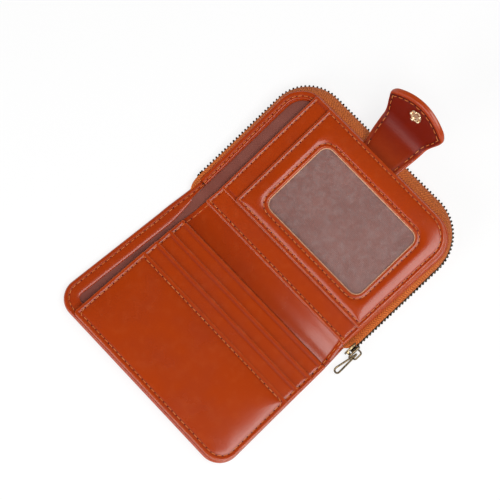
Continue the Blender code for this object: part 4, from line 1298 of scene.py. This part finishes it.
def strap_half_width(s, side):
    """Half the strap's width, a little fuller on the side away from the slider."""
    if s < 0:
        return ROOT_HALF
    fuller = STRAP_FULLER * math.sin(math.pi * held(s / 27.0)) if side > 0 else 0.0
    if s < STRAP_BASE:
        return between(ROOT_HALF, MIDDLE_HALF, s / STRAP_BASE) + fuller
    return between(MIDDLE_HALF, STRAP_HALF, eased(held((s - STRAP_BASE) / 14.95))) + fuller


def strap_bow(y):
    """Distance from the strap's far end to its rounded outline, at a distance from its middle."""
    over = max(0.0, abs(y) - (STRAP_HALF - STRAP_EAR))
    ear = STRAP_EAR - math.sqrt(max(0.0, STRAP_EAR ** 2 - over ** 2))
    return STRAP_BOW * (min(abs(y), STRAP_HALF) / STRAP_HALF) ** 2 + ear


def strap_lanes():
    """Places across the strap as shares of its half width, closest together at its edges."""
    half = (
        0.0, 0.12, 0.24, 0.36, 0.48, 0.59, 0.68, 0.76, 0.83, 0.885, 0.925, 0.955, 0.975, 0.99, 1.0,
    )
    return [-lane for lane in half[:0:-1]] + list(half)


def strap_rows(to_end):
    """Stations along a stretch: shares of its plain part, then distances from the far end."""
    if not to_end:
        return [(i / 24, None) for i in range(25)]
    near = (ROLL_ZONE, 5.7, 5.1, 4.6, 4.2, 3.9, 3.7, 3.5, 3.3, 3.1, 2.8, 2.4, 1.9, 1.4, 1.0, 0.6,
            0.3, 0.12, 0.0)
    return [(i / 32, None) for i in range(32)] + [(1.0, d) for d in near]


def strap_sheet(name, from_s, to_s, heights, inset, look, swell=0.0, short=0.0, roll=0.0):
    """One layer of the strap between two heights under its hinge line, as a soft-edged sheet.

    The hide is turned over at the far end as a thick roll, and the facing stops short of it.
    """
    to_end = to_s == STRAP_END
    middle, half = sum(heights) / 2, (heights[1] - heights[0]) / 2
    soft_edge, thinnest, no_end = 0.5, 0.3, 99.0
    swell_run, groove, roll_start, turned_down = 2.5, 0.16, 3.7, 1.9
    bm = new_shape()
    rows = []
    for share, near in strap_rows(to_end):
        upper, under = [], []
        for lane in strap_lanes():
            if to_end:
                last = STRAP_END - short - strap_bow(lane * (STRAP_HALF - inset))
                s = between(from_s, last - ROLL_ZONE, share) if near is None else last - near
                reach = last - s
            else:
                s = between(from_s, to_s, share)
                reach = no_end
            y = lane * (strap_half_width(s, lane) - inset)
            side = strap_half_width(s, y) - inset - abs(y)
            d = min(side, reach)
            out = 1 - min(d / soft_edge, 1.0)
            edge = thinnest + (1 - thinnest) * math.sqrt(max(0.0, 1 - out ** 2))
            rise, sewn = 0.0, 9.0
            if swell:
                rise = swell * (1 - math.exp(-d / swell_run))
                sewn = min(abs(side + inset - STRAP_SEAM), abs(reach + short - STRAP_END_SEAM))
            rise -= groove * bell(sewn / 0.7)
            if roll:
                fade = min(1.0, (side + 0.1) / 2.4)
                rise += fade * roll * eased(held((roll_start - reach) / 0.7))
                rise -= fade * (roll + 0.25) * max(0.0, 1 - reach / turned_down) ** 2.2
            top = strap_spot(s, y, middle + half * edge + rise)
            upper.append(add_vert(bm, top, rim_mark(d), bell(sewn / 0.6)))
            under.append(add_vert(bm, strap_spot(s, y, middle - half * edge), rim_mark(d)))
        rows.append(upper + under[::-1])
    join_rows(bm, rows)
    return finish_piece(name, bm, look, BLOCK)


def strap_spot(s, y, height):
    """A point over the strap's hinge line, in the block's plan."""
    point, direction = strap_line(s)
    flat = point + Vector((-direction.y, direction.x)) * height
    return Vector((flat.x, STRAP_MIDDLE + y, flat.y))


def strap_bend(carrier, carried, middle, before, after):
    """What blends a stretch of the strap between two bodies, round its middle."""
    ends = [BLOCK @ (strap_spot(middle + away, 0, -0.9) * MM) for away in (-before, after)]
    return (carrier, carried, *ends)


def strap_seam(spots):
    """A line of stitches over (distance along, distance across) spots of the strap."""
    line = []
    for s, y in spots:
        direction = strap_line(s)[1]
        up = BLOCK.to_3x3() @ Vector((-direction.y, 0.0, direction.x))
        line.append((BLOCK @ (strap_spot(s, y, -0.12) * MM), up))
    return line, False


def side_seams(from_s, to_s):
    steps = [between(from_s, to_s, i / 40) for i in range(41)]
    return [
        strap_seam([(s, side * (strap_half_width(s, side) - STRAP_SEAM)) for s in steps])
        for side in (-1, 1)
    ]


def build_strap():
    """Two layers, each in a lower and an upper length that bend at the root and at the middle."""
    half = STRAP_BASE / 2
    root = strap_bend("pouch_block", "strap_base", 0.0, 3.5, 4.5)
    bend = strap_bend("strap_base", "strap_tip", STRAP_BASE, 6.5, 6.5)
    hide = (HIDE_HEIGHTS, 0.0, "hide")
    facing = (FACING_HEIGHTS, FACING_INSET, "strap", 0.12)
    lower = strap_sheet("strap_hide_lower", STRAP_START, half, *hide)
    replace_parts(lower, "strap_root", "strap_base_leather")
    upper = strap_sheet("strap_hide_upper", half, STRAP_END, *hide, roll=1.15)
    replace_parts(upper, "strap_tip_leather")
    face_low = strap_sheet("strap_facing_lower", STRAP_START, half, *facing)
    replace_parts(face_low, "strap_base_lining")
    face_high = strap_sheet("strap_facing_upper", half, STRAP_END, *facing, short=3.3)
    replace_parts(face_high, "strap_tip_lining")
    for piece, place in ((lower, root), (face_low, root), (upper, bend), (face_high, bend)):
        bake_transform(piece, *place)
    sew("strap_lower", side_seams(1.0, half - 0.4), root, WIDE_PITCH)
    last = STRAP_END - STRAP_END_SEAM
    arc = [(last - strap_bow(15.4 * k / 20), 14.7 * k / 20) for k in range(-20, 21)]
    upper_seams = side_seams(half + 2.8, arc[0][0] - 1.6) + [strap_seam(arc)]
    sew("strap_upper", upper_seams, bend, WIDE_PITCH)


build_strap()


# Snap

def turned_part(name, centre, place, profile, sides=48):
    """A round gold part from (radius, height) pairs."""
    bm = new_shape()
    join_rows(bm, [
        [
            bm.verts.new((centre[0] + r * math.cos(t), centre[1] + r * math.sin(t), height))
            for t in turns(sides)
        ]
        for r, height in profile
    ])
    return finish_piece(name, bm, "gold", place)


def add_petals(flower, centre, place):
    """Swelling petals round the socket's bore."""
    count, from_middle, height, half_length, flare = 5, 2.75, 0.42, 0.84, 0.25
    bm = bmesh.new()
    bm.from_mesh(flower.data)
    for k in range(count):
        turn = 2 * math.pi * (k + 0.3) / count
        out = Vector((math.cos(turn), math.sin(turn), 0))
        side = Vector((-math.sin(turn), math.cos(turn), 0))
        heart = Vector((*centre, height)) + out * from_middle
        rows = []
        for i in range(1, 9):
            lean = math.pi * i / 9
            row = []
            for t in turns(16):
                reach = half_length * math.sin(lean) * math.cos(t)
                spread = math.sin(lean) * math.sin(t) * (1 + flare * reach)
                spot = heart + out * reach + side * spread
                row.append(bm.verts.new(place @ ((spot + Vector((0, 0, math.cos(lean)))) * MM)))
            rows.append(row)
        join_rows(bm, rows)
    bmesh.ops.recalc_face_normals(bm, faces=bm.faces)
    bm.to_mesh(flower.data)
    bm.free()
    flower.data.shade_smooth()


def build_snap():
    bend = Matrix.Translation(Vector((MIDDLE_BEND.x, STRAP_MIDDLE, MIDDLE_BEND.y)) * MM)
    tip = BLOCK @ bend @ Matrix.Rotation(-math.atan2(SECOND.y, SECOND.x), 4, "Y")
    middle = (15.66, 0.0)
    plate = (
        (3.2, 0.06), (3.42, 0.2), (3.35, 0.42), (3.0, 0.5), (2.1, 0.5), (1.95, 0.42), (1.85, 0.24),
        (0.3, 0.22),
    )
    flower = turned_part("snap_flower_socket", middle, tip, plate)
    add_petals(flower, middle, tip)
    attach(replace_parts(flower, "snap_socket"), "strap_tip")
    cap = (
        (0.6, -3.2), (2.2, -3.14), (3.6, -2.96), (4.6, -2.74), (5.1, -2.5), (5.35, -2.2),
        (5.3, -2.02), (4.8, -1.95),
    )
    dome = turned_part("snap_dome_cap", middle, tip, cap, 56)
    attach(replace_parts(dome, "snap_cap"), "strap_tip")
    stud = (
        (3.7, -0.12), (3.95, -0.35), (3.9, -0.62), (3.5, -0.8), (1.6, -0.82), (1.3, -0.95),
        (1.3, -1.15), (1.55, -1.32), (1.7, -1.55), (1.68, -1.8), (1.45, -2.02), (1.0, -2.12),
        (0.4, -2.14),
    )
    ball = turned_part("snap_ball_stud", (-STUD_FROM_FOLD, STRAP_MIDDLE), LEFT, stud, 40)
    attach(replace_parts(ball, "snap_stud"), "left_half")


build_snap()


# Hidden parts keep their solids
hidden_parts = {"cover_board_left": "board", "cover_board_right": "board", "stud_rivet": "gold"}
for node, look in hidden_parts.items():
    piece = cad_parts[node]
    piece.data.materials.clear()
    piece.data.materials.append(looks[look][0])

for part in (stitch, hole, tooth):
    bpy.data.objects.remove(part)


# Stage, light and camera

def white_to_camera(tree, shader, out):
    """Shows plain white to the camera, in reflections and through film, and keeps the shadow."""
    path = put(tree, "ShaderNodeLightPath").outputs
    seen = maths(tree, "MAXIMUM", path["Is Camera Ray"], path["Is Glossy Ray"])
    seen = maths(tree, "MAXIMUM", seen, path["Is Transmission Ray"])
    glow = put(tree, "ShaderNodeEmission", {"Color": (1.0, 1.0, 1.0, 1.0), "Strength": 1.06})
    share = maths(tree, "MULTIPLY", seen, 0.75)
    mix = put(tree, "ShaderNodeMixShader", {0: share, 1: shader, 2: glow.outputs[0]})
    tree.links.new(mix.outputs[0], out.inputs["Surface"])


def build_stage():
    bm = bmesh.new()
    bmesh.ops.create_grid(bm, x_segments=8, y_segments=8, size=1.0)
    mesh = mesh_from("pale_floor", bm)
    floor = add_object("pale_floor", mesh)
    floor.location.z = -0.0004
    look = bpy.data.materials.new("pale_floor_paint")
    look.use_nodes = True
    tree = look.node_tree
    shader = tree.nodes["Principled BSDF"]
    shader.inputs["Base Color"].default_value = (0.9, 0.9, 0.9, 1.0)
    shader.inputs["Roughness"].default_value = 0.9
    white_to_camera(tree, shader.outputs[0], tree.nodes["Material Output"])
    mesh.materials.append(look)


def add_lamp(name, place, size, power):
    """A soft lamp that shines on the wallet's middle."""
    lamp = bpy.data.lights.new(name, "AREA")
    lamp.shape = "RECTANGLE"
    lamp.size, lamp.size_y = size
    lamp.energy = power
    stand = add_object(name, lamp)
    stand.location = place
    stand.rotation_euler = (-Vector(place)).to_track_quat("-Z", "Y").to_euler()


def build_light():
    """White all round, brightest near the horizon, and two soft lamps."""
    world = bpy.data.worlds.new("studio")
    bpy.context.scene.world = world
    world.use_nodes = True
    tree = world.node_tree
    background = tree.nodes["Background"]
    upward = put(tree, "ShaderNodeTexCoord").outputs["Generated"]
    height = put(tree, "ShaderNodeSeparateXYZ", {0: upward}).outputs["Z"]
    background.inputs["Color"].default_value = (1.0, 1.0, 1.0, 1.0)
    strength = ranged(tree, height, 0.15, 0.6, 1.0, 0.05)
    tree.links.new(strength, background.inputs["Strength"])
    add_lamp("main_softbox", (0.0, -0.36, 0.9), (0.8, 0.5), 7.0)
    add_lamp("side_softbox", (-0.8, 0.05, 0.5), (0.5, 0.5), 3.0)


def build_camera():
    """The photograph's viewing angle: nearly overhead, turned to the left, one metre away."""
    azimuth, elevation = math.radians(-43.05), math.radians(75.5)
    focal_pixels, picture_pixels, sensor = 2036.0, 500.0, 36.0
    right = Vector((math.cos(azimuth), math.sin(azimuth), 0.0))
    level = Vector((math.sin(azimuth), -math.cos(azimuth), 0.0))
    back = level * math.cos(elevation) + Vector((0.0, 0.0, math.sin(elevation)))
    target = COVER @ Vector((0.0053, 0.0159, 0.010))
    camera = bpy.data.cameras.new("camera")
    camera.sensor_fit = "HORIZONTAL"
    camera.sensor_width = sensor
    camera.lens = sensor * focal_pixels / picture_pixels
    camera.clip_start = 0.01
    stand = add_object("camera", camera)
    turn = Matrix((right, back.cross(right), back)).transposed().to_4x4()
    stand.matrix_world = Matrix.Translation(target + back) @ turn
    bpy.context.scene.camera = stand


build_stage()
build_light()
build_camera()
bpy.context.scene.view_settings.view_transform = "Standard"
